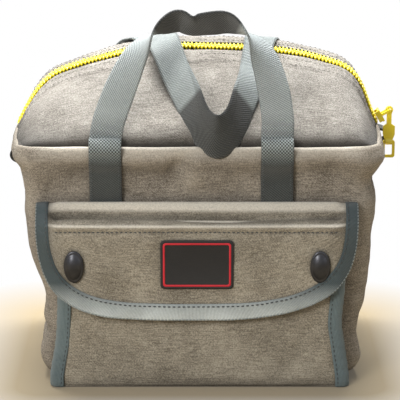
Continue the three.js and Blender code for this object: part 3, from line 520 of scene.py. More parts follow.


# %% [markdown]
# ## A workshop for one material
# `Shop.node` makes any node from its type, its settings and the values or links of its sockets. The other
# methods are the few things that cloth, rubber and metal share: a place in metres, noise of a real size, and
# painted shade in the folds. Everything that changes over a surface then ends in colour, roughness or a bump.

# %% A workshop for one material
class Shop:
    """The workshop for one material."""

    def __init__(self, name):
        self.material = bpy.data.materials.new(name)
        self.material.use_nodes = True
        self.tree = self.material.node_tree
        self.tree.nodes.clear()

    def plug(self, value, socket):
        if isinstance(value, Value):
            self.tree.links.new(value.socket, socket)
        else:
            socket.default_value = value

    def node(self, kind, output=0, inputs=None, **settings):
        node = self.tree.nodes.new("ShaderNode" + kind)
        for name, value in settings.items():
            setattr(node, name, value)
        for name, value in (inputs or {}).items():
            self.plug(value, node.inputs[name])
        return Value(self, node.outputs[output])

    def place(self):
        """Real place in metres, for spots and wear that don't follow the weave."""
        return self.node("TexCoord", "Object")

    def height(self, place):
        """Height above the floor, in millimetres."""
        split = self.node("SeparateXYZ", "Z", {"Vector": place})
        return split * 1000.0

    def sideways(self, place):
        """Distance to the right of the bag's middle, in millimetres."""
        split = self.node("SeparateXYZ", "X", {"Vector": place})
        return split * 1000.0

    def uv(self):
        """U and V, in millimetres on the cloth."""
        split = self.node("SeparateXYZ", "X", {"Vector": self.node("TexCoord", "UV")})
        return split * 1000.0, split.beside("Y") * 1000.0

    def noise(self, vector, size, detail=3.0, rough=0.55):
        """Noise whose features are `size` millimetres."""
        return self.node("TexNoise", "Fac", {"Vector": vector, "Scale": 1000.0 / size, "Detail": detail,
                                             "Roughness": rough})

    def stretched(self, vector, scale):
        return self.node("VectorMath", 0, {0: vector, 1: scale}, operation="MULTIPLY")

    def mix(self, share, a, b):
        return self.node("Mix", 2, {0: share, 6: a, 7: b}, data_type="RGBA")

    def shade_folds(self, color, fold_shade):
        """Painted shade: ambient occlusion darkens folds and seams towards a shade colour."""
        open_share = self.node("AmbientOcclusion", "AO", {"Distance": 0.011}, samples=6)
        return self.mix((1 - open_share.power(0.8)) * 0.85, color, fold_shade)

    def finish(self, color, roughness, height, depth, metallic=0.0, sheen=0.0, coat=0.0, specular=0.4):
        normal = self.node("Bump", "Normal", {"Height": height, "Distance": depth, "Strength": 1.0})
        return self.output(self.node("BsdfPrincipled", 0, {
            "Base Color": color, "Roughness": roughness, "Metallic": metallic, "Normal": normal,
            "Sheen Weight": sheen, "Sheen Roughness": 0.6, "Coat Weight": coat, "Coat Roughness": 0.15,
            "Specular IOR Level": specular}))

    def output(self, shader):
        out = self.tree.nodes.new("ShaderNodeOutputMaterial")
        self.plug(shader, out.inputs["Surface"])
        print(f"material {self.material.name}: {len(self.tree.nodes)} nodes")
        return self.material


# %% [markdown]
# ## Colours and the weave
# Colours were chosen against the photograph and are typed as sRGB, so `rgb` turns them into the linear
# values that Blender takes. Canvas and webbing are woven in slanting ridges. Two crossing sine waves give
# that height, which costs less than modelled threads and never repeats, because soft noise bends them.

# %% Colours and the weave
def rgb(red, green, blue):
    """An sRGB colour from 0 to 255 as the linear colour that Blender takes."""
    def linear(value):
        value /= 255
        return value / 12.92 if value <= 0.04045 else ((value + 0.055) / 1.055) ** 2.4
    return linear(red), linear(green), linear(blue), 1.0


def twill(shop, u, v, pitch, lean=1.0):
    """Ridges of a twill weave with the crossing threads, as a height from 0 to 1."""
    uneven = shop.noise(shop.node("TexCoord", "UV"), 6.0, 2.0) * 1.3
    ridges = ((u + v * lean) * (math.tau / pitch) + uneven).sin() * 0.5 + 0.5
    cross = ((u * lean - v) * (math.tau / (pitch * 1.15)) + uneven).sin() * 0.5 + 0.5
    return ridges * 0.62 + ridges * cross * 0.38


# %% [markdown]
# ## Canvas
# The bag's cloth is a grey-brown duck canvas with a visible weave, slubs and rubbed places. The weave feeds
# both the colour and a bump. The walls' rim and the flap's fold and hem get a painted highlight, and the top
# gets painted shade along its creases; those marks are heights in millimetres, which lie the same on every
# piece.

# %% Canvas
def make_canvas(name, dark, light, pitch=1.15, painted_highlight=None, bands=(), crease=None):
    """Duck cloth. `bands` are (low, high, softness) heights in millimetres that get a painted highlight.

    `crease` is the height up to which painted shade darkens the cloth, with its softness.
    """
    shop = Shop(name)
    u, v = shop.uv()
    place = shop.place()
    weave = twill(shop, u, v, pitch)
    grain = shop.noise(place, 1.1, 2.0)
    patches = shop.noise(place, 38.0, 4.0)
    slubs = shop.noise(shop.stretched(shop.node("TexCoord", "UV"), (0.35, 3.0, 1.0)), 3.5, 2.0)
    tone = weave * 0.6 + grain + patches * 0.7 + slubs * 0.6
    color = shop.mix(((tone - 1.19) * 2.2).clamp(), dark, light)
    worn = shop.node("NewGeometry", "Pointiness").above(0.53, 0.05)
    # Rubbed edges are paler, and painted shade darkens folds and seams towards rgb(38, 34, 29).
    color = shop.shade_folds(shop.mix(worn * 0.25, color, light), rgb(38, 34, 29))
    # Painted highlight: within the bands the cloth turns towards the pale highlight colour.
    for low, high, soft in bands:
        z = shop.height(place)
        middle = 1 - shop.sideways(place).abs().above(126, 18)
        band = z.above(low, soft) * (1 - z.above(high, soft)) * middle
        color = shop.mix(band * (grain * 0.6 + 0.4), color, painted_highlight)
    # Painted shade: below the crease height the cloth darkens towards rgb(38, 35, 31).
    if crease:
        crease_shade = 1 - shop.height(place).above(*crease)
        color = shop.mix(crease_shade.power(1.4) * 0.93, color, rgb(38, 35, 31))
    height = weave * 0.6 + grain * 0.35 + shop.noise(place, 14.0, 3.0) * 1.6
    return shop.finish(color, 0.92, height, 0.00055, sheen=0.12, specular=0.2)


# %% [markdown]
# ## The straps' finish
# The straps and handles are woven bands. A handle's painted shade lies at a known place along the band, and
# the painted highlight and painted shade that change with height are speckled, so U, V and the height choose
# between the colours. Two crossing waves make the speckle, like pale threads that show between dark ones.

# %% Webbing
def make_webbing(name, dark, light, width=WEBBING_WIDTH, pitch=1.9, shaded_reach=0.0, shade_color=None,
                 lit_above=None, foot=None):
    """Woven strap. Above `lit_above` it is speckled with a painted highlight, and below `foot` with painted
    shade.
    """
    shop = Shop(name)
    u, v = shop.uv()
    across = (v - width / 2).abs()
    weave = twill(shop, u, v, pitch, 0.75)
    grain = shop.noise(shop.place(), 1.6, 2.0)
    edge = across.above(width / 2 - 1.6, 0.8)
    fade = shop.noise(shop.place(), 30.0, 3.0)
    tone = weave * 0.62 + grain * 0.28 + fade * 0.32 - edge * 0.18
    color = shop.mix((tone - 0.1).clamp(), dark, light)
    # Painted shade: around U = 0 the band turns to the shade colour, on the front handle's bridge and the
    # rear handle's tip.
    if shaded_reach:
        shaded = 1 - u.abs().above(shaded_reach, 5.0)
        color = shop.mix(shaded * 0.93, color, shade_color)
    z = shop.height(shop.place())
    knot = math.tau / 2.6
    speckle = ((u * knot).sin() * (v * knot).sin()).above(0.05, 0.5)
    # Painted highlight: above that height the band is speckled pale.
    if lit_above:
        color = shop.mix(z.above(*lit_above) * speckle * 0.85, color, rgb(178, 190, 190))
    # Painted shade: below that height the band is speckled dark, on the front handle's legs.
    if foot:
        color = shop.mix((1 - z.above(*foot)) * (1 - speckle) * 0.85, color, rgb(40, 45, 45))
    # Painted shade darkens folds and seams towards the dark colour.
    color = shop.shade_folds(color, dark)
    height = weave * 0.8 + grain * 0.25 - edge * 0.3
    return shop.finish(color, 0.78, height, 0.0007, sheen=0.2, specular=0.35)


# %% [markdown]
# ## Binding tape and thread
# The raw edges are bound with a ribbed grey-blue tape. One sine wave along the tape makes its ribs. The
# thread is twisted from plies, so a slanting wave turns round each stitch.

# %% Binding tape and thread
def make_binding(name, dark, light, painted_highlight=None):
    """Ribbed tape. `painted_highlight` is a painted highlight that is mixed in low down, below about 76 mm.
    """
    shop = Shop(name)
    u, v = shop.uv()
    uneven = shop.noise(shop.node("TexCoord", "UV"), 5.0, 2.0) * 2.0
    ribs = (u * (math.tau / 1.1) + uneven).sin() * 0.5 + 0.5
    grain = shop.noise(shop.place(), 1.3, 2.0)
    fade = shop.noise(shop.place(), 22.0, 3.0)
    tone = ribs * 0.4 + grain * 0.35 + fade * 0.45
    color = shop.mix((tone - 0.15).clamp(), dark, light)
    # Painted highlight: low down the tape turns towards the pale highlight colour.
    if painted_highlight:
        low = 1 - shop.height(shop.place()).above(76, 30)
        color = shop.mix(low * (tone * 0.8 + 0.15).clamp(), color, painted_highlight)
    return shop.finish(color, 0.72, ribs * 0.6 + grain * 0.5, 0.0005, sheen=0.15, specular=0.35)


def make_thread(name, color, shade):
    shop = Shop(name)
    u, v = shop.uv()
    ply = ((u + v * 3.0) * (math.tau / 0.8)).sin() * 0.5 + 0.5
    return shop.finish(shop.mix(ply, shade, color), 0.7, ply, 0.0002, sheen=0.2)


# %% [markdown]
# ## Enamel, metal and rubber
# The zipper's teeth and slider are yellow, the snap caps are dark metal, and the patch is rubber. None of
# them is perfectly even. Soft noise varies the roughness, so that their highlights break up, and worn edges
# of the yellow are found with the mesh's pointiness.

# %% Enamel, metal and rubber
def make_enamel(name, color, deep, metallic=0.0, rough=0.28):
    """Painted or moulded yellow: a little uneven, duller in the worn places."""
    shop = Shop(name)
    place = shop.place()
    mottle = shop.noise(place, 5.0, 4.0)
    scuff = shop.noise(place, 1.6, 5.0, 0.7).above(0.62, 0.08)
    base = shop.mix(mottle * 0.7, color, deep)
    worn = shop.node("NewGeometry", "Pointiness").above(0.6, 0.06)
    base = shop.mix(worn * 0.35, base, rgb(250, 232, 120))
    roughness = mottle * 0.2 + scuff * 0.25 + rough
    return shop.finish(base, roughness, mottle, 0.00015, metallic, coat=0.25, specular=0.5)


def make_gunmetal():
    shop = Shop("gunmetal")
    place = shop.place()
    streaks = shop.noise(shop.stretched(place, (0.6, 1.0, 3.5)), 1.2, 4.0)
    cloud = shop.noise(place, 7.0, 3.0)
    color = shop.mix(cloud, rgb(38, 38, 42), rgb(74, 75, 79))
    return shop.finish(color, streaks * 0.22 + 0.24, streaks, 0.00005, 0.85, specular=0.5)


def make_rubber(name, color, deep):
    shop = Shop(name)
    place = shop.place()
    grain = shop.noise(place, 0.7, 3.0)
    bloom = shop.noise(place, 13.0, 4.0)
    return shop.finish(shop.mix(bloom, deep, color), grain * 0.2 + 0.5, grain, 0.00015, specular=0.4)


# %% [markdown]
# ## The bag's own finishes
# Now each finish is made once with its own colours. The front, the top and the pocket are cut from one
# cloth, but their colours differ a little, and so they get three canvases.

# %% The bag's own finishes
# The bands give painted highlights: on the walls' rolled rim, and on the flap's top fold and its hem ridge.
canvas = make_canvas("canvas", rgb(84, 76, 66), rgb(184, 175, 161), painted_highlight=rgb(226, 219, 206),
                     bands=[(191.5, 400, 12)])
pocket_canvas = make_canvas("pocket_canvas", rgb(96, 89, 77), rgb(192, 184, 167), painted_highlight=rgb(236, 230, 217),
                            bands=[(146.6, 400, 3), (137, 138.6, 1.2)])
# The top darkens in painted shade below its crease height.
top_canvas = make_canvas("top_canvas", rgb(94, 89, 82), rgb(186, 181, 173), crease=(205.5, 17))
# One webbing in lit and shaded copies: the wall straps are the shaded copy, with a speckled painted highlight
# above the rim.
strap_webbing_painted_light = make_webbing("strap_webbing_painted_light", rgb(22, 26, 25), rgb(96, 102, 100), lit_above=(191, 16))
# The handles are lit copies, with painted shade on the front bridge, low on the front legs and on the rear
# tip.
front_handle_painted_light = make_webbing("front_handle_painted_light", rgb(122, 131, 133), rgb(220, 229, 230), shaded_reach=36.0,
                          shade_color=rgb(7, 8, 9), foot=(214, 20))
rear_handle_painted_light = make_webbing("rear_handle_painted_light", rgb(60, 67, 67), rgb(182, 192, 192), shaded_reach=46.0,
                         shade_color=rgb(24, 27, 26))
black_webbing = make_webbing("black_webbing", rgb(14, 15, 14), rgb(44, 46, 44), 18)
binding = make_binding("binding", rgb(66, 80, 84), rgb(122, 138, 142))
# The flap's tape gets a nearly white painted highlight low down, along its lower edge.
flap_tape = make_binding("flap_tape", rgb(36, 47, 50), rgb(82, 96, 100), rgb(240, 248, 248))
pale_edge = make_thread("pale_edge", rgb(176, 186, 188), rgb(128, 140, 142))
thread = make_thread("thread", rgb(132, 126, 116), rgb(92, 87, 79))
dark_thread = make_thread("dark_thread", rgb(66, 74, 76), rgb(38, 44, 46))
tape_cloth = make_canvas("tape_cloth", rgb(58, 54, 46), rgb(104, 98, 88), 0.9)
teeth_plastic = make_enamel("teeth_plastic", rgb(250, 232, 40), rgb(224, 198, 18))
yellow_enamel = make_enamel("yellow_enamel", rgb(252, 234, 52), rgb(226, 200, 26), 0.1, 0.24)
gunmetal = make_gunmetal()
rubber = make_rubber("rubber", rgb(30, 29, 30), rgb(16, 15, 16))
red_rubber = make_rubber("red_rubber", rgb(214, 46, 60), rgb(176, 28, 42))
board_cloth = make_rubber("board_cloth", rgb(50, 48, 45), rgb(30, 28, 26))

# %% [markdown]
# ## Camera
# The photograph was taken square to the front, from a little above and from far away. So the camera looks
# down by 15 degrees through a long lens, which keeps the two side walls nearly parallel.

# %% Camera
TARGET = at(2.4, -90, 154)
DISTANCE = 1.51
ELEVATION = math.radians(15)
SENSOR = 36
SPAN = 0.2119  # width of the picture as a share of the distance

camera = bpy.data.objects.new("camera", bpy.data.cameras.new("camera"))
camera.data.sensor_width = SENSOR
camera.data.lens = SENSOR / SPAN
camera.location = TARGET + Vector((0, -math.cos(ELEVATION), math.sin(ELEVATION))) * DISTANCE
camera.rotation_euler = (math.pi / 2 - ELEVATION, 0, 0)
bpy.context.scene.collection.objects.link(camera)
bpy.context.scene.camera = camera
bpy.context.scene.view_settings.view_transform = "Standard"
print(f"lens {camera.data.lens:.0f} mm, {DISTANCE} m away")


# %% [markdown]
# ## Lights
# The light of the photograph is soft and comes from above and from the front left. Three area lights give
# that: one overhead for the top, one key for the front, and a weak one that keeps the right side readable.

# %% Lights
def add_light(name, place, aim, size, power, color=(1, 1, 1)):
    data = bpy.data.lights.new(name, "AREA")
    data.shape = "RECTANGLE"
    data.size, data.size_y = size
    data.energy = power
    data.color = color
    lamp = bpy.data.objects.new(name, data)
    lamp.location = place
    lamp.rotation_euler = (Vector(aim) - Vector(place)).to_track_quat("-Z", "Y").to_euler()
    bpy.context.scene.collection.objects.link(lamp)
    print(f"light {name}: {power} W")


add_light("overhead", (-0.05, 0.34, 1.15), (0, -0.05, 0.15), (0.9, 0.4), 34, (1.0, 0.99, 0.97))
add_light("key", (-0.75, -1.3, 0.8), (0, 0, 0.12), (0.55, 0.45), 17, (1.0, 0.98, 0.95))
add_light("side", (1.2, -0.5, 0.7), (0, 0, 0.12), (0.5, 0.7), 2.0, (0.96, 0.98, 1.0))


# %% [markdown]
# ## World
# The picture's background is white, but a white world would wash out the cloth. The Light Path node tells
# the rays apart: the camera and mirror-like rays see white, and all others get a dim, cool fill.

# %% World
def make_world():
    world = bpy.data.worlds.new("world")
    world.use_nodes = True
    bpy.context.scene.world = world
    nodes, links = world.node_tree.nodes, world.node_tree.links
    nodes.clear()
    path = nodes.new("ShaderNodeLightPath")
    seen = nodes.new("ShaderNodeMath")
    seen.operation = "ADD"
    links.new(path.outputs["Is Camera Ray"], seen.inputs[0])
    links.new(path.outputs["Is Glossy Ray"], seen.inputs[1])
    both = nodes.new("ShaderNodeMath")
    both.operation = "ADD"
    both.use_clamp = True
    links.new(seen.outputs[0], both.inputs[0])
    links.new(path.outputs["Is Transmission Ray"], both.inputs[1])
    fill = nodes.new("ShaderNodeBackground")
    fill.inputs["Color"].default_value = (0.93, 0.96, 1.0, 1)
    fill.inputs["Strength"].default_value = 0.26
    white = nodes.new("ShaderNodeBackground")
    white.inputs["Color"].default_value = (1, 1, 1, 1)
    mix = nodes.new("ShaderNodeMixShader")
    links.new(both.outputs[0], mix.inputs[0])
    links.new(fill.outputs[0], mix.inputs[1])
    links.new(white.outputs[0], mix.inputs[2])
    out = nodes.new("ShaderNodeOutputWorld")
    links.new(mix.outputs[0], out.inputs["Surface"])
    print("world:", len(nodes), "nodes")


make_world()

# %% [markdown]
# ## Floor
# The bag stands on white paper with a warm shadow close to it. A large plane takes the shadow, and for the
# camera it fades into plain white a hand's breadth away, so no horizon shows.

# %% Floor
def make_floor():
    """Warm paper that fades to plain white a hand's breadth from the bag."""
    shop = Shop("floor")
    paper = shop.node("BsdfPrincipled", 0, {"Base Color": rgb(160, 145, 117), "Roughness": 0.9})
    x = shop.node("SeparateXYZ", "X", {"Vector": shop.place()})
    off_x = (x.abs() - 0.13).math("MAXIMUM", 0.0)
    off_y = (x.beside("Y").abs() - 0.09).math("MAXIMUM", 0.0)
    away = (off_x * off_x + off_y * off_y).power(0.5)
    fade = ((away - 0.02) * 11.0).clamp() * 0.96 + 0.04
    glow = shop.node("Emission", 0, {"Color": (1, 1, 1, 1), "Strength": 1.0})
    path = shop.node("LightPath", "Is Camera Ray")
    shader = shop.node("MixShader", 0, {0: path * fade, 1: paper, 2: glow})
    shop.output(shader)
    mesh = bpy.data.meshes.new("floor")
    mesh.from_pydata([(-9, -9, 0), (9, -9, 0), (9, 9, 0), (-9, 9, 0)], [], [(0, 1, 2, 3)])
    mesh.materials.append(shop.material)
    floor = bpy.data.objects.new("floor", mesh)
    bpy.context.scene.collection.objects.link(floor)


make_floor()

# %% [markdown]
# ## Section of the body
# A real bag of this kind is sewn from a few panels round a stiff bottom. Here one lofted shell makes the
# bottom, the four walls and the rolled rim, since separate panels would show gaps at the corners. `section`
# gives a point of the outline at any height, with round corners and a bulge in the side walls.

# %% Section of the body
CORNER_RADIUS = 15
FOOT_END = 5.5  # the rounded foot ends here
ROLL_START = 190  # the rim starts to roll in here
RIM_ROLL = [(ROLL_START, 0), (192.6, 0.3), (194.8, 1.0), (196.3, 2.0), (197, 3.1), (196.9, 4.0),
            (195.8, 4.6), (ROLL_START, 4.7)]
FOOT_ROLL = [(0, 70), (0, 40), (0, 18), (0, 9), (0.3, 5), (1.3, 2.4), (3, 0.9), (FOOT_END, 0.2)]


def side_bulge(y, z):
    return along(BULGE, z) * (1 - min((y / half_depth(z)) ** 2, 1))


def section(u, z, inset):
    """A point of the horizontal outline at height z, from the middle of the front, anticlockwise."""
    left = along(LEFT_OUTLINE, z) - inset
    right = along(RIGHT_OUTLINE, z) - inset
    depth = half_depth(z) - inset
    radius = max(CORNER_RADIUS - inset, 2)
    arc = radius * math.pi / 2
    sides = [right - radius, arc, 2 * (depth - radius), arc, left + right - 2 * radius, arc,
             2 * (depth - radius), arc, left - radius]
    place = u * sum(sides)
    k = 0
    while k < 8 and place > sides[k]:
        place -= sides[k]
        k += 1
    x_right, x_left, y_rear = right - radius, -left + radius, depth - radius
    turn = place / radius
    sine, cosine = radius * math.sin(turn), radius * math.cos(turn)
    x, y = [
        lambda: (place, -depth),
        lambda: (x_right + sine, -y_rear - cosine),
        lambda: (right, -y_rear + place),
        lambda: (x_right + cosine, y_rear + sine),
        lambda: (x_right - place, depth),
        lambda: (x_left - sine, y_rear + cosine),
        lambda: (-left, y_rear - place),
        lambda: (x_left - cosine, -y_rear - sine),
        lambda: (x_left + place, -depth),
    ][k]()
    reach = smooth(0.82, 1, abs(x) / (right if x > 0 else left))
    return x + math.copysign(side_bulge(y, z) * reach, x), y


# %% [markdown]
# ## Folds of the walls
# Full cloth sags between the straps, and its folds give the bag its weight. Each large fold is one soft bump
# or groove at a place read from the photograph, and three sizes of noise add the small wrinkles. The straps
# ask the same function how far out the wall stands.

# %% Folds of the walls
def pinch(x, y, z):
    """Folds that the photograph shows: the left waist, the right notch and the soft dents of full cloth."""
    fold = 0.0
    side = smooth(0.7, 1, abs(x) / 140)
    if x < 0:
        fold -= 3.0 * side * bump(z - 46 - 0.08 * y, 7)
        fold += 1.8 * side * bump(z - 60 - 0.08 * y, 8)
    else:
        fold -= 1.8 * side * bump(z - 161 - 0.05 * y, 11)
        fold -= 2.2 * side * bump(z - 44 + 0.1 * y, 8)
    return fold


def body_relief(u, v, point):
    x, y, z = point
    calm = smooth(0, 14, z) * (1 - smooth(186, 194, z) * 0.7)
    wrinkle = ripple((x, y, z * 0.7), 52, 3.0) * 1.5 + ripple((x, y, z), 21, 7.0) * 0.7
    wrinkle += ripple((x * 0.5, y * 0.5, z * 2.0), 17, 11.0) * 0.4
    pull = 1.6 * bump(z - 28, 16) * ripple((x, y, 0), 30, 2.0)
    if y < 0:
        pull += 2.8 * bump(z - 187, 7) - 3.0 * bump(z - 170, 11)
        pull += 4.0 * ripple((x + z * 0.6, 0, z * 1.5), 34, 17.0) * bump(z - 168, 15)
        pull -= 4.6 * mound(x + 17 - 0.2 * (z - 180), 7, z - 179, 11)
        pull += 3.0 * mound(x + 2 - 0.1 * (z - 180), 8, z - 176, 16)
        pull -= 3.0 * mound(x + 45, 17, z - 166, 11)
        pull -= 3.0 * mound(x - 38, 14, z - 164, 12)
        pull -= 3.2 * mound(x - 104, 13, z - 172, 12)
    return calm * (wrinkle + pull + pinch(x, y, z))


# %% [markdown]
# ## Shell of the body
# `shell` stacks closed rows of points from the middle of the bottom up to the rolled rim, moves them by the
# folds, and adds an inner face, which shows when the top is open. Its UVs are given for each corner of each
# face, because a loop of cloth has to start and end somewhere.

# %% Shell from stacked rows
def shell(name, rows, columns, material, thickness, relief):
    """A closed loop of rows (z, inset) with an outer and an inner face."""
    grid = []
    for z, inset in rows:
        line = []
        for i in range(columns):
            x, y = section(i / columns, z, inset)
            line.append(Vector((x, y, z)))
        grid.append(line)

    def normals_of(points):
        out = []
        for j in range(len(points)):
            line = []
            for i in range(columns):
                du = points[j][(i + 1) % columns] - points[j][i - 1]
                dv = points[min(j + 1, len(points) - 1)][i] - points[max(j - 1, 0)][i]
                line.append(du.cross(dv).normalized())
            out.append(line)
        return out

    normals = normals_of(grid)
    for j, line in enumerate(grid):
        for i, point in enumerate(line):
            line[i] = point + normals[j][i] * relief(i / columns, 0, point)
    normals = normals_of(grid)
    low_row = grid[12]
    around = sum((low_row[i] - low_row[i - 1]).length for i in range(columns))
    climb = [0.0]
    for a, b in zip(grid, grid[1:]):
        climb.append(climb[-1] + (b[0] - a[0]).length)
    verts = [at(*(p - n * t)) for t in (0, thickness)
             for line, way in zip(grid, normals) for p, n in zip(line, way)]
    count = len(grid) * columns
    faces, uvs = [], []
    for j in range(len(grid) - 1):
        for i in range(columns):
            a, b = j * columns + i, j * columns + (i + 1) % columns
            corners = [(a, i, j), (b, i + 1, j), (b + columns, i + 1, j + 1), (a + columns, i, j + 1)]
            for shift, order in ((0, corners), (count, corners[::-1])):
                faces.append(tuple(shift + c[0] for c in order))
                uvs += [(c[1] / columns * around / 1000, climb[c[2]] / 1000) for c in order]
    top = (len(grid) - 1) * columns
    for i in range(columns):
        a, b = top + i, top + (i + 1) % columns
        faces.append((a, b, count + b, count + a))
        uvs += [(i / columns * around / 1000, climb[-1] / 1000)] * 4
    for shift, order in ((0, -1), (count, 1)):
        ring = list(range(columns))[::order]
        faces.append(tuple(shift + i for i in ring))
        uvs += [(verts[i].x, verts[i].y) for i in ring]
    return loop_piece(name, verts, faces, uvs, material)


def loop_piece(name, verts, faces, loop_uvs, material):
    """A piece whose UVs are given for each corner of each face."""
    piece = new_piece(name, verts, faces, [(0, 0)] * len(verts), material)
    layer = piece.data.uv_layers[0]
    for loop, uv in zip(layer.data, loop_uvs):
        loop.uv = uv
    return piece


# %% [markdown]
# ## Body
# The body is made once, from the rows of the rounded foot, the walls and the rolled rim. It stands for the
# bottom panel and all four wall panels of the solids.

# %% Body
WALL_STEPS = 56
wall_rows = [(FOOT_END + k * (ROLL_START - FOOT_END) / WALL_STEPS, 0) for k in range(1, WALL_STEPS)]
body = shell("body_shell", FOOT_ROLL + wall_rows + RIM_ROLL, 260, canvas, CLOTH, body_relief)
finish_piece(body, "root", "canvas", "bottom_panel", "front_panel", "rear_panel", "right_side_panel",
             "left_side_panel")

# %% [markdown]
# ## Cloth of the top
# Each half of the top is a panel that is sewn to the wall and ends in a hem beside the zipper. It is two
# sheets that meet in the middle of the bag. `top_relief` adds waves, the step of the hem, and the pucker
# that a row of stitches draws into cloth.

# %% Cloth of the top
HEM = 19.5  # width of the hem beside the zipper
FRONT_ZIP_EDGE = 5.2
REAR_ZIP_EDGE = 7.6
BLEND_START = 132  # from here out a top follows the body,
BLEND_END = 84  # and from here in it follows its own fold


def top_face(y_from, y_to, t_from, t_to):
    def face(u, v):
        t = t_from + (t_to - t_from) * u
        y = y_from + (y_to - y_from) * v
        x, y, z = top_point(t, y)
        tuck = min(bump(CREASE_Y - abs(y), 3.4) + bump(1 - abs(t), 0.012), 1)
        return x * (1 - 0.01 * tuck), y * (1 - 0.02 * tuck), z - 6.0 * tuck
    return face


def top_relief(u, v, point):
    x, y, z = point
    inner = smooth(CREASE_Y, CREASE_Y - 12, abs(y)) if abs(y) > CREASE_Y - 12 else 1.0
    wave = ripple((x, y, 0), 62, 21.0) * 1.9 + ripple((x, y, 0), 23, 5.0) * 0.75
    wave += ripple((x, y * 2, 0), 11, 9.0) * 0.3
    hem = 0.7 * (1 - smooth(HEM - 0.6, HEM + 0.6, abs(y)))
    pucker = 0.35 * math.sin(x * 1.1 + 2 * ripple((x, 0, 0), 15, 4.0)) * bump(abs(y) - 13, 6)
    return inner * wave * (0.35 + 0.65 * smooth(6, 26, abs(y))) + hem + pucker


# %% [markdown]
# ## Baking the top in place
# When the bag opens, the middle of each half folds outwards while its ends stay sewn to the side walls. A
# rigid panel would tear away there. Here each sheet only has its transform baked into its points.

# %% Bake the top in place
def blended_top(piece, side):
    reach = 1 if side == "right" else -1
    at(reach * BLEND_START, 0, 220)
    at(reach * BLEND_END, 0, 220)
    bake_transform(piece)


TOP_PARTS = [("front", "left", -1, 0), ("front", "right", 0, 1),
             ("rear", "left", -1, 0), ("rear", "right", 0, 1)]
for half, side, t_from, t_to in TOP_PARTS:
    low, high = (-CREASE_Y, -FRONT_ZIP_EDGE) if half == "front" else (REAR_ZIP_EDGE, CREASE_Y)
    cloth = sheet(f"{half}_top_{side}", top_face(low, high, t_from, t_to), 110, 60, top_canvas,
                  relief=top_relief, beyond=1)
    blended_top(cloth, side)
    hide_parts(f"{half}_top_panel" if side == "left" else "right_end_cap")
    if half == "rear" and side == "right":
        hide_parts("left_end_cap")

# %% [markdown]
# ## Zipper
# Moulded teeth of both halves mesh along the ridge, each row on its own dark tape. The chain is walked in
# equal steps along the ridge, and the rear row is shifted by half a step, so that the teeth interlock. The
# chain leans forward, as it does in the photograph.

# %% Teeth and tape
TOOTH_STEP = 3.15
CHAIN_TILT = math.radians(24)
CHAIN_SAMPLES = 900


def chain_places(t_from, t_to):
    """Evenly spaced teeth along the ridge: the place and the direction to the right for each one."""
    samples = [t_from + (t_to - t_from) * k / CHAIN_SAMPLES for k in range(CHAIN_SAMPLES + 1)]
    spots, gone, wanted = [], 0.0, TOOTH_STEP / 2
    before = Vector(top_point(samples[0], 0))
    for t in samples[1:]:
        point = Vector(top_point(t, 0))
        gone += (point - before).length
        if gone >= wanted:
            spots.append((point, (point - before).normalized() * (1 if t_to > t_from else -1)))
            wanted += TOOTH_STEP
        before = point
    return spots


def tooth(middle, ahead, facing, shift):
    """A long foot on the tape, and a wider head that meshes with the other row."""
    across = Vector((0, math.cos(CHAIN_TILT), math.sin(CHAIN_TILT)))
    up = across.cross(ahead) * -1
    side = across * facing
    base = middle + ahead * shift + up * 1.5
    return [(base + side * 1.9, ahead * 0.8, side * 2.5, up * 1.3),
            (base - side * 0.9, ahead * 1.2, side * 0.9, up * 1.15)]


def tape_face(y_from, y_to, t_from, t_to):
    def face(u, v):
        x, y, z = top_point(t_from + (t_to - t_from) * u, y_from + (y_to - y_from) * v)
        return x, y, z - 0.4
    return face


# %% [markdown]
# ## Both rows of the zipper
# Each row is made in a left and a right part, like the cloth that carries it. The parts at the ends also
# stand for the short chain over the side walls.

# %% Both rows of the zipper
CHAIN_START = -0.985  # the teeth's left and right end, as shares of the ridge
CHAIN_END = 0.955
for half, side, _, _ in TOP_PARTS:
    facing = -1 if half == "front" else 1
    last = CHAIN_START if side == "left" else CHAIN_END
    shift = 0 if facing < 0 else TOOTH_STEP / 2
    placed = []
    for middle, ahead in chain_places(0, last):
        placed += tooth(middle, ahead, facing, shift)
    teeth = boxes(f"{half}_teeth_{side}", placed, teeth_plastic)
    ends = (last, 0) if side == "left" else (0, last)
    low, high = (-8, -0.3) if facing < 0 else (0.3, 9.5)
    tape = sheet(f"{half}_tape_{side}", tape_face(low, high, *ends), 80, 2, tape_cloth, 0.8)
    for piece, slot in ((teeth, "teeth"), (tape, "tape")):
        blended_top(piece, side)
    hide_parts(f"{half}_zipper_teeth" if side == "left" else "right_zipper_end")
    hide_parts(f"{half}_zipper_tape" if side == "left" else "right_zipper_end_tape")
    if half == "rear" and side == "right":
        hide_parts("left_zipper_end")
        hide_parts("left_zipper_end_tape")


# %% [markdown]
# ## Seams beside the zipper
# Two rows of stitches hold each hem to the tape. They lie on the same waves as the cloth, so the line asks
# the cloth's face and relief for its place. The rows are spaced as on the real hem.

# %% Seams beside the zipper
def hem_line(y, t_from, t_to):
    face = top_face(y - 1, y + 1, t_from, t_to)

    def line(u):
        t = 0.02 + 0.96 * u
        middle = Vector(face(t, 0.5))
        normal = (Vector(face(t + 0.01, 0.5)) - middle).cross(Vector(face(t, 1)) - middle).normalized()
        return middle + normal * (top_relief(t, 0.5, middle) + 0.05), normal
    return line


for half, side, t_from, t_to in TOP_PARTS:
    facing = -1 if half == "front" else 1
    for row, y in (("inner", 10.4), ("outer", 18)):
        seam = stitches(f"{half}_{row}_seam_{side}", hem_line(facing * y, t_from, t_to), thread)
        blended_top(seam, side)

# %% [markdown]
# ## Slider, pull and ring
# These three are crisp cast parts, and the CAD frame already has their exact shapes. So they keep their
# solids and only get yellow enamel, and a small bevel that catches the light on every edge.

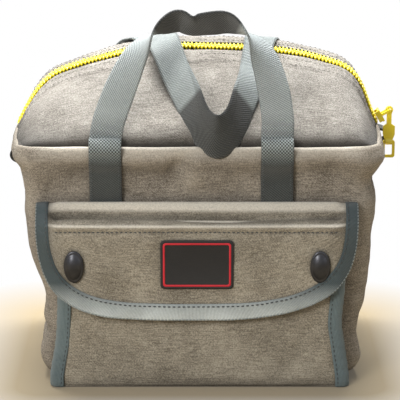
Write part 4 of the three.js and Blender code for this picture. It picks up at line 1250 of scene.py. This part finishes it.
# %% Slider, pull and ring
def repaint(node, material):
    """A CAD piece that stays in view gets its real finish."""
    part = bpy.data.objects[node]
    part.data.materials.clear()
    part.data.materials.append(material)
    print(f"{node} keeps its own shape, in {material.name}")
    return part


for node in ("zipper_slider", "zipper_pull", "pull_ring"):
    bevel = repaint(node, yellow_enamel).modifiers.new("edges", "BEVEL")
    bevel.width = 0.00035
    bevel.segments = 2
    bevel.limit_method = "ANGLE"
    bevel.angle_limit = math.radians(35)

# %% [markdown]
# ## Paths for webbing
# Every band is described by stations of (middle, direction across, width), and a smooth curve runs through
# them. Its length is measured too, because the painted shade on a handle has to lie at the same place on the
# band as the shade on the real handle.

# %% Paths for webbing
def station_path(stations):
    """A webbing path through (middle, across, width) stations."""
    middles = [s[0] for s in stations]
    acrosses = [s[1] for s in stations]
    widths = [(s[2], 0, 0) for s in stations]
    return lambda u: (spline(middles, u), spline(acrosses, u).normalized(), spline(widths, u).x)


def path_length(path, share):
    """Length of a webbing path from its start to u = share."""
    points = [path(share * k / 200)[0] for k in range(201)]
    return sum((b - a).length for a, b in zip(points, points[1:]))


def webbing_relief(u, a):
    return 0.25 * math.cos(a * 9) * math.sin(u * 23)


# %% [markdown]
# ## Straps on the walls
# Four straps are sewn up the walls and carry the handles. Each lies on the soft cloth and presses it flat
# over its own width, so it follows the highest point under it. At the top it turns over the rim. A
# Shrinkwrap modifier could do this, but it would also copy every small wrinkle into the stiff band.

# %% Straps on the walls
def over_wall(x, facing, z):
    """How far out a strap lies on the soft wall, which it presses flat over its own width."""
    y = facing * half_depth(z)
    return abs(y) + max(body_relief(0, 0, (x + across, y, z)) for across in (-11, -5, 0, 5, 11))


def wall_strap(name, x, facing, foot, node):
    stations = []
    count = round((ROLL_START - foot) / 7)
    for k in range(count + 1):
        z = foot + (ROLL_START - foot) * k / count
        stations.append(((x, facing * (over_wall(x, facing, z) + 1.3), z), (-facing, 0, 0), WEBBING_WIDTH))
    for out, z in ((94.2, 195), (93.2, 199.2), (90.9, 202.4), (88.4, 203.8)):
        stations.append(((x, facing * out, z), (-facing, 0, 0), WEBBING_WIDTH))
    strap = ribbon(name, station_path(stations), strap_webbing_painted_light, 1.9, 90, relief=webbing_relief)
    finish_piece(strap, "root", "webbing", node)

    def seam(side):
        def line(u):
            z = foot + 2 + (186 - foot) * u
            out = over_wall(x, facing, z) + 2.35
            return Vector((x + side * (WEBBING_WIDTH / 2 - 2.2), facing * out, z)), Vector((0, facing, 0))
        return line

    for side, label in ((-1, "left"), (1, "right")):
        row = stitches(f"{name}_{label}_seam", seam(side), dark_thread, 2.4, 1.4)
        finish_piece(row, "root", "webbing")


# The front straps start under the flap, and the rear ones near the floor.
for end, facing, foot in (("front", -1, 143), ("rear", 1, 20)):
    for label, x in (("left", LEFT_STRAP_X), ("right", RIGHT_STRAP_X)):
        wall_strap(f"{end}_{label}_webbing", x, facing, foot, f"{end}_{label}_strap")


# %% [markdown]
# ## Front handle
# The front handle stands up and leans back a little. Its legs lie flat against the top, and its bridge is
# bunched where a hand holds it, so the band turns edge-up there. Each station says how far along the lean
# it is and how flat the band lies.

# %% Front handle
LEAN = math.radians(71)
REACH = 96
BRIDGE_TILT = math.radians(45)


def leaning(x, share, flat, width, rise):
    """A station of the front handle, on its plane that leans back from the crease."""
    reach = share * REACH
    lift = rise + 0.3
    middle = (x, -CREASE_Y + reach * math.cos(LEAN) - lift * math.sin(LEAN),
              RIM + reach * math.sin(LEAN) + lift * math.cos(LEAN))
    up = math.sqrt(1 - flat * flat)
    return middle, (flat, -up * math.sin(BRIDGE_TILT), up * math.cos(BRIDGE_TILT)), width


# Each row is x, the share of the reach, how flat the band lies, its width and its rise.
FRONT_BAND = [(-73, 0.035, 0.999, 26, 0), (-72, 0.12, 0.998, 26, 1.4), (-69, 0.25, 0.995, 26, 3),
              (-60, 0.5, 0.97, 26, 6), (-47, 0.78, 0.82, 25, 9), (-31, 0.96, 0.42, 27, 11),
              (-14, 1.03, 0.05, 29, 11), (-0.5, 1.0, 0.0, 29, 10), (20, 1.02, -0.05, 29, 11),
              (36, 0.96, -0.42, 27, 11), (51, 0.78, -0.82, 25, 9), (60, 0.5, -0.97, 26, 6),
              (64, 0.25, -0.995, 26, 3), (64, 0.12, -0.998, 26, 1.4), (64, 0.035, -0.999, 26, 0)]
front_path = station_path([leaning(*row) for row in FRONT_BAND])


def crumple(u, a):
    """The bridge of the front handle is soft: its upper edge waves."""
    bridge = bump(u - 0.5, 0.16)
    wave = 1.5 * math.sin(u * 40 + a * 3) * (a + 0.5) + 0.7 * math.sin(u * 71)
    return bridge * wave + webbing_relief(u, a)


front_handle = ribbon("front_carry_handle", front_path, front_handle_painted_light, 1.9, 240,
                      -path_length(front_path, 0.5), crumple)
finish_piece(front_handle, "front_handle", "webbing", "front_handle")


# %% [markdown]
# ## Rear handle
# The rear handle has fallen forward over the ridge. Its legs lie on the rear cloth, the bow twists on edge,
# and its tip hangs over the front. Stations on the cloth ask the top how high it stands, so the band never
# sinks in.

# %% Rear handle on the top
def on_top(x, y, lift, across, width=WEBBING_WIDTH):
    return (x, y, top_z(x, y) + lift), across, width


def lying(x, y, across):
    """A station of the rear handle where it lies on the soft rear cloth."""
    spots = [Vector((x + dx, y + dy, 0)) for dx in (-12, -6, 0, 6, 12) for dy in (-5, 0, 5)]
    return on_top(x, y, max(top_relief(0, 0, spot) for spot in spots) + 1.5, across)


left_leg = [on_top(-73, 86.5, 2.4, (1, 0, 0)), on_top(-73, 84, 2.4, (1, 0, 0)),
            lying(-70.4, 74, (1, 0, 0)), lying(-66.7, 63, (1, 0, 0)), lying(-60.8, 51, (1, 0, 0)),
            lying(-54.1, 40, (1, 0, 0)), lying(-47.6, 30, (0.99, 0, 0.1)),
            lying(-41, 20, (0.98, 0, 0.19)), on_top(-31, 0, 8.5, (0.88, 0, 0.47))]
bow = [on_top(-26, -20, 15, (0.87, 0, 0.49)), on_top(-18, -42, 13.5, (0.8, -0.1, 0.6)),
       on_top(-8, -64, 15, (0.55, -0.1, 0.83), 29), ((3, -88.5, 215), (0.3, -0.3, 0.9), 35),
       ((17, -99.5, 208), (0, -0.32, 0.95), 41), ((30, -88.5, 216), (-0.3, -0.3, 0.9), 35),
       on_top(38, -66, 15.5, (-0.5, -0.1, 0.86), 28), on_top(43, -52, 13, (-0.68, 0, 0.73)),
       on_top(47, -38, 10.5, (-0.9, 0, 0.43)), on_top(50, -20, 10.6, (-0.93, 0, 0.37))]
right_leg = [on_top(52, 0, 8.5, (-0.93, 0, 0.37)), lying(54.4, 20, (-0.99, 0, 0.14)),
             lying(56.5, 30, (-0.99, 0, 0.1)), lying(58.6, 40, (-1, 0, 0)), lying(60.5, 51, (-1, 0, 0)),
             lying(62.2, 63, (-1, 0, 0)), lying(63.3, 74, (-1, 0, 0)),
             on_top(64, 84, 2.4, (-1, 0, 0)), on_top(64, 86.5, 2.4, (-1, 0, 0))]
rear_stations = left_leg + bow + right_leg
rear_path = station_path(rear_stations)
tip_share = (len(left_leg) + 4) / (len(rear_stations) - 1)
print(f"the rear handle's band is {path_length(rear_path, 1):.0f} mm long")
rear_handle = ribbon("rear_carry_handle", rear_path, rear_handle_painted_light, 1.9, 300, -path_length(rear_path, tip_share),
                     webbing_relief)
at(0, 10, 275)
at(0, -8, 275)
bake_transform(rear_handle)
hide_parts("rear_handle_left_leg", "rear_handle_right_leg", "rear_handle_bow")


# %% [markdown]
# ## Pull tabs
# A short loop of black webbing stands out from each side wall, to hold the bag while its zipper is pulled.
# Half a turn of a flat circle gives the loop, and its ends sink into the wall, where they are sewn in.

# %% Pull tabs at the ends
TAB_Y = 14
TAB_WIDTH = 18


def end_tab(name, side, z, node):
    wall = side_wall(side, z) + side_bulge(TAB_Y, z)

    def path(u):
        angle = math.pi * (u - 0.5)
        x = side * (wall - 1 + 10.5 * math.cos(angle) ** 0.8)
        return Vector((x, TAB_Y, z + 6.5 * math.sin(angle))), Vector((0, -side, 0)), TAB_WIDTH

    finish_piece(ribbon(name, path, black_webbing, 1.8, 30), "root", "black_webbing", node)


end_tab("right_pull_tab", 1, 184, "right_end_tab")
end_tab("left_pull_tab", -1, 168, "left_end_tab")

# %% [markdown]
# ## Outline of the pocket
# The front pocket is a box of cloth on the front wall: two gussets and a front face. All three are one
# sheet that is bent round two small corners, because cloth that is bent has no open joint. The outline
# walks from the rear edge of the left gusset to that of the right one.

# %% Outline of the pocket
POCKET_LEFT = [(0, 117.5), (10, 117.5), (40, 112.5), (62, 111), (74, 110.6), (124, 111)]
POCKET_RIGHT = [(0, 122), (10, 121.5), (40, 117), (55, 115), (85, 117), (124, 117)]
POCKET_FRONT = 105
POCKET_CORNER = 4
POCKET_FOOT = 1.2
POCKET_RISE = 122.8


def pocket_sides(z):
    back = half_depth(z) + 0.4
    left, right = along(POCKET_LEFT, z), along(POCKET_RIGHT, z)
    arc = POCKET_CORNER * math.pi / 2
    gusset = POCKET_FRONT - back - POCKET_CORNER
    return left, right, back, arc, gusset, left + right - 2 * POCKET_CORNER


def pocket_outline(s, z):
    """The point at s millimetres from the left gusset's rear edge."""
    left, right, back, arc, gusset, front = pocket_sides(z)
    if s < gusset:
        return -left, -back - s
    s -= gusset
    if s < arc:
        turn = s / POCKET_CORNER
        return (-left + POCKET_CORNER * (1 - math.cos(turn)),
                -POCKET_FRONT + POCKET_CORNER * (1 - math.sin(turn)))
    s -= arc
    if s < front:
        return -left + POCKET_CORNER + s, -POCKET_FRONT
    s -= front
    if s < arc:
        turn = s / POCKET_CORNER
        return (right - POCKET_CORNER * (1 - math.sin(turn)),
                -POCKET_FRONT + POCKET_CORNER * (1 - math.cos(turn)))
    return right, -POCKET_FRONT + POCKET_CORNER + s - arc


def pocket_face(u, v):
    z = POCKET_FOOT + v * POCKET_RISE
    left, right, back, arc, gusset, front = pocket_sides(z)
    x, y = pocket_outline(u * (2 * gusset + 2 * arc + front), z)
    return x, y + 1.8 * (1 - smooth(0, 7, z)), z


# %% [markdown]
# ## Folds of the pocket
# The lower half of the pocket bulges over what is inside, and slanting folds run from its corners under the
# flap. As on the walls, each fold is a soft bump at a place read from the photograph.

# %% Pocket
def pocket_relief(u, v, point):
    x, y, z = point
    if y > -POCKET_FRONT + 3.9:
        return 0.6 * ripple((y * 2, z, 3), 20, 8.0)
    middle = 1 - min((x - 2) ** 2 / 112**2, 1)
    open_zone = 1 - smooth(52, 66, z)
    puffed = 2.4 * middle * math.sin(math.pi * min(z / 66, 1)) * open_zone
    folds = ripple((x * 0.8, z * 1.3 - x * 0.25, 0), 34, 31.0) * 1.5 + ripple((x, z, 0), 15, 6.0) * 0.45
    corner = 1.5 * bump(x - 84 - z * 0.5, 13) - 1.3 * bump(x - 62 - z * 0.6, 10)
    corner += 1.3 * bump(x + 88 + z * 0.35, 12) - 1.0 * bump(x + 70 + z * 0.4, 9)
    hem = -0.6 * bump(z - 6, 2.5)
    share = middle ** 0.3 * (0.25 + 0.75 * open_zone) * smooth(0, 10, z)
    return puffed + (folds * 0.55 + corner * 0.8) * share + hem


def floor_face(u, v):
    return -117 + 238 * v, -103.4 + 18 * u, 0.5


pocket = sheet("pocket_cloth", pocket_face, 200, 70, pocket_canvas, relief=pocket_relief)
finish_piece(pocket, "root", "canvas", "pocket_front", "pocket_right_gusset", "pocket_left_gusset")
pocket_floor = sheet("pocket_floor_cloth", floor_face, 4, 40, pocket_canvas)
finish_piece(pocket_floor, "root", "canvas", "pocket_floor")


# %% [markdown]
# ## Binding on the pocket's corners
# A ribbed tape covers the seam down each front corner. It is a narrow sheet on the same outline that stands
# 1.5 mm proud, with a rolled edge where the raw cloth lies inside it, and one row of stitches.

# %% Binding on the pocket's corners
def binding_face(side):
    def face(u, v):
        z = 0.8 + v * 123
        left, right, back, arc, gusset, front = pocket_sides(z)
        total = 2 * gusset + 2 * arc + front
        start = gusset - 2 if side < 0 else total - gusset - arc - 5.5
        x, y = pocket_outline(start + u * (arc + 7.5), z)
        return x, y + 1.8 * (1 - smooth(0, 7, z)), z
    return face


def binding_relief(side):
    def relief(u, v, point):
        across = u if side < 0 else 1 - u
        roll = bump(across - 0.12, 0.1) * 0.5
        return 1.5 + roll - 0.45 * smooth(0.93, 1.0, across) + 0.15 * math.sin(v * 90)
    return relief


def binding_seam(side, share):
    face = binding_face(side)

    def line(u):
        v = 0.02 + 0.96 * u
        middle = Vector(face(share, v))
        return middle + Vector((0, -1.62, 0)), Vector((0, -1, 0))
    return line


for side, label in ((-1, "left"), (1, "right")):
    strip = sheet(f"pocket_{label}_binding_tape", binding_face(side), 16, 90, binding, 1.3,
                  binding_relief(side))
    finish_piece(strip, "root", "binding", f"pocket_{label}_binding")
    share = 0.85 if side < 0 else 0.15
    seam = stitches(f"pocket_{label}_binding_seam", binding_seam(side, share), dark_thread)
    finish_piece(seam, "root", "binding")

# %% [markdown]
# ## Shape of the flap
# The flap comes out of the front wall in a roll, hangs over the pocket, and has rounded lower corners. Every
# point of it is named by x and by s, the distance from its root. That makes the roll a simple turn, and lets
# the cloth, the binding and the seams use one shape.

# %% Shape of the flap
FLAP_HALF = 129
BINDING_WIDTH = 13.5
SIDE_BINDING_WIDTH = 10
FLAP_LENGTH = 104
ROUNDING = 4  # a higher power makes tighter lower corners
TUCKED = 6  # width of cloth inside the binding
CLOTH_HALF = FLAP_HALF - BINDING_WIDTH + TUCKED
CLOTH_LENGTH = FLAP_LENGTH - BINDING_WIDTH + TUCKED


def flap_point(x, s, lift=0.0):
    turn = min(s / FLAP_ROLL, math.pi / 2)
    radius = FLAP_ROLL + lift
    hang = max(s - FLAP_ROLL * math.pi / 2, 0)
    back = 6.5 * smooth(106, 130, abs(x)) ** 1.5 * smooth(0, 30, s)
    return Vector((x, FLAP_ROOT_Y + back - radius * math.sin(turn),
                   FLAP_TOP - FLAP_ROLL + radius * math.cos(turn) - hang))


def flap_share(x):
    """The right side of the flap is cut a little shorter."""
    return 1 - 0.07 * smooth(20, 128, x)


def flap_end(x, half, length):
    return length * flap_share(x) * (1 - min(abs(x) / half, 1) ** ROUNDING) ** (1 / ROUNDING)


# %% [markdown]
# ## The flap's cloth
# Under its root the flap has a deep groove and a sewn hem, and lower down its cloth is only slightly wavy,
# with its edge curling outwards. `flap_lift` says how far it stands proud, so it can be laid under the
# binding and the stitches too.

# %% Flap's cloth
def flap_lift(x, s):
    """How far the cloth stands proud of its plain shape, in millimetres."""
    inside = smooth(0, 10, 120 - abs(x))
    deep = 1 - 0.4 * smooth(10, 90, x) + 0.15 * math.sin(x / 19 + 1)
    groove = -8.0 * deep * bump(s - 17 - 1.6 * math.sin(x / 37 + 0.5), 4.4)
    hem = 2.6 * bump(s - 28.5, 3.6) - 1.2 * bump(s - 32, 1.3)
    top = 3.2 * bump(s - 6, 4.2)
    soft = ripple((x, s, 0), 44, 41.0) * 1.3 + ripple((x, s * 1.5, 0), 16, 13.0) * 0.5
    dent = -1.6 * mound(abs(x) - 98, 15, s - 62, 20)
    curl = 3.2 * smooth(FLAP_LENGTH - 24, FLAP_LENGTH, s / flap_share(x))
    return (0.15 + 0.85 * inside) * (groove + hem + top) + (soft + dent) * smooth(2, 40, s) + curl + 0.4


def flap_face(u, v):
    x = CLOTH_HALF * 0.9995 * math.sin(math.pi * (u - 0.5))
    s = 0.5 + (1 - v) * flap_end(x, CLOTH_HALF, CLOTH_LENGTH)
    return flap_point(x, s, flap_lift(x, s))


flap = sheet("flap_cloth", flap_face, 150, 110, pocket_canvas)
finish_piece(flap, "flap", "canvas", "pocket_flap")


# %% [markdown]
# ## The flap's binding
# One tape runs down the left side, along the lower edge and up the right side. It is a closed-form curve, a
# rounded rectangle, with its width running inwards. A curve with a bevel would fold over itself in the tight
# corners.

# %% Flap's binding
def flap_rim(u, v):
    """The binding: u runs round the edge from the right root to the left one, v from outside in."""
    t = 2 * min(u, 1 - u)
    turn = math.pi / 2 * t * t
    half = FLAP_HALF - v * SIDE_BINDING_WIDTH
    length = FLAP_LENGTH - v * BINDING_WIDTH
    reach = half * math.cos(turn) ** (2 / ROUNDING) if turn > 0 else half
    x = math.copysign(reach, 0.5 - u)
    s = length * flap_share(x) * math.sin(turn) ** (2 / ROUNDING) if turn > 0 else 0.0
    roll = 0.9 * math.sin(math.pi * min(v * 1.6, 1) * 0.5) + 0.25 * bump(v - 0.16, 0.12)
    return flap_point(x, s, 0.1 + roll + flap_lift(x, s))


def rim_face(u, v):
    return flap_rim(1 - u, v)


flap_binding = sheet("flap_binding_tape", rim_face, 260, 8, flap_tape, 2.6)
finish_piece(flap_binding, "flap", "binding", "flap_binding")


# %% [markdown]
# ## Seams of the flap
# Three rows are sewn on the flap: one on the inner edge of the binding, a pale one right at its rim, and one
# across the hem under the roll. Each line leans its stitches on the shape that the cloth has there.

# %% Seams of the flap
def rim_seam(share, lift):
    def line(u):
        k = 0.015 + 0.97 * u
        middle = flap_rim(1 - k, share)
        beside = flap_rim(1 - k, share + 0.05) - middle
        ahead = flap_rim(1 - min(k + 0.002, 1), share) - flap_rim(1 - max(k - 0.002, 0), share)
        normal = beside.cross(ahead).normalized()
        normal = normal if normal.dot(Vector((0, -1, 0.3))) > 0 else -normal
        return middle + normal * lift, normal
    return line


inner_seam = stitches("flap_binding_seam", rim_seam(0.84, 0.12), dark_thread, 2.6, 1.3, 0.5)
outer_seam = stitches("flap_edge_thread", rim_seam(0.05, 0.1), pale_edge, 2.3, 0.5, 0.5)


def flap_hem(u):
    x = -113 + 226 * u
    return flap_point(x, 32, flap_lift(x, 32) + 0.25), Vector((0, -0.95, 0.3))


hem_seam = stitches("flap_hem_seam", flap_hem, dark_thread, 2.4, 1.3, 0.45)
for seam, slot in ((inner_seam, "binding"), (outer_seam, "binding"), (hem_seam, "canvas")):
    finish_piece(seam, "flap", slot)


# %% [markdown]
# ## Snap caps
# Two dark metal caps cover the snaps that close the pocket. A real cap is pressed from sheet metal with a
# rolled lip and a domed middle. A profile of (share of the radius, distance out) is turned into an oval, as
# a lathe would do it.

# %% Snap caps
FLAP_FACE_Y = FLAP_ROOT_Y - FLAP_ROLL - 0.4  # the face of the hanging flap
CAP_Z = 104.84
CAP_HALF_WIDTH = 7.75
CAP_HALF_HEIGHT = 13
CAP_PROFILE = [(1.0, -0.2), (1.02, 0.5), (0.98, 1.1), (0.9, 1.35), (0.84, 1.3), (0.8, 1.45),
               (0.74, 1.9), (0.62, 2.6), (0.46, 3.2), (0.28, 3.6), (0.12, 3.78)]


def stacked_rings(rings, n):
    """Faces between rings of n points, closed at both ends."""
    faces = []
    for k in range(rings - 1):
        for i in range(n):
            a, b = k * n + i, k * n + (i + 1) % n
            faces.append((a, b, b + n, a + n))
    faces.append(tuple(range((rings - 1) * n, rings * n)))
    faces.append(tuple(reversed(range(n))))
    return faces


def snap_cap(name, x, node, n=64):
    """A domed oval cap with a rolled lip."""
    verts, uvs = [], []
    for share, out in CAP_PROFILE:
        for i in range(n):
            angle = math.tau * i / n
            verts.append(at(x + CAP_HALF_WIDTH * share * math.cos(angle), FLAP_FACE_Y - out,
                            CAP_Z + CAP_HALF_HEIGHT * share * math.sin(angle)))
            uvs.append((0.01 * share * math.cos(angle), 0.01 * share * math.sin(angle)))
    cap = new_piece(name, verts, stacked_rings(len(CAP_PROFILE), n), uvs, gunmetal)
    return finish_piece(cap, "flap", "gunmetal", node)


caps = [snap_cap("left_cap_dome", -98, "left_snap_cap"), snap_cap("right_cap_dome", 98, "right_snap_cap")]


# %% [markdown]
# ## Rubber patch
# A plain black rubber patch is sewn on the middle of the flap, with a raised border and a thin red line let
# in round it. Rings of rounded rectangles, from the back edge round to the face, give its stepped edge.

# %% Rubber patch
def rounded(half_x, half_z, radius, steps=8):
    outline = []
    for k, (sx, sz) in enumerate(((1, 1), (-1, 1), (-1, -1), (1, -1))):
        for i in range(steps + 1):
            angle = math.pi / 2 * (k + i / steps)
            outline.append((sx * (half_x - radius) + radius * math.cos(angle),
                            sz * (half_z - radius) + radius * math.sin(angle)))
    return outline


PATCH_Z = 106.84


def plate(name, rings, material):
    """Rings of (half_x, half_z, radius, out) from the back edge round to the middle of the face."""
    verts, uvs = [], []
    for half_x, half_z, radius, out in rings:
        for x, z in rounded(half_x, half_z, radius):
            verts.append(at(x, FLAP_FACE_Y - out, PATCH_Z + z))
            uvs.append((x / 1000, z / 1000))
    n = len(verts) // len(rings)
    return new_piece(name, verts, stacked_rings(len(rings), n), uvs, material)


PATCH_RINGS = [(29, 20, 3, -0.1), (29, 20, 3, 1.3), (28.6, 19.6, 2.8, 1.7), (27.4, 18.4, 2.4, 1.75),
               (26.9, 17.9, 2.2, 1.35), (26.2, 17.2, 2.0, 1.35), (25.7, 16.7, 1.8, 1.2)]
patch = plate("bare_patch", PATCH_RINGS, rubber)
finish_piece(patch, "flap", "patch", "flap_patch")


def make_patch_line():
    """A thin red ring of rubber, closed all round its section."""
    verts, faces, uvs = [], [], []
    outline = rounded(27.1, 18.1, 2.3, 10)
    inner = rounded(25.5, 16.5, 1.5, 10)
    n = len(outline)
    for ring, out in ((outline, 1.2), (outline, 1.62), (inner, 1.62), (inner, 1.2)):
        for x, z in ring:
            verts.append(at(x, FLAP_FACE_Y - out, PATCH_Z + z))
            uvs.append((x / 1000, z / 1000))
    for k in range(4):
        for i in range(n):
            a, b = k * n + i, k * n + (i + 1) % n
            c, d = (k + 1) % 4 * n + (i + 1) % n, (k + 1) % 4 * n + i
            faces.append((a, b, c, d))
    return new_piece("patch_inset_line", verts, faces, uvs, red_rubber)


finish_piece(make_patch_line(), "flap", "patch")

# %% [markdown]
# ## The flap as a sheet
# The flap is one sheet of cloth, bound, sewn and hung from its root.

# %% [markdown]
# ## Snaps and the bottom board
# The snaps' sockets and studs and the stiff board in the bottom are hardly seen, so their solids are good
# enough as they are. They only get the metal and the dark cloth that they have on a real bag.

# %% Snaps and the bottom board
for node in ("left_snap_socket", "right_snap_socket", "left_snap_stud", "right_snap_stud"):
    repaint(node, gunmetal)
repaint("base_board", board_cloth)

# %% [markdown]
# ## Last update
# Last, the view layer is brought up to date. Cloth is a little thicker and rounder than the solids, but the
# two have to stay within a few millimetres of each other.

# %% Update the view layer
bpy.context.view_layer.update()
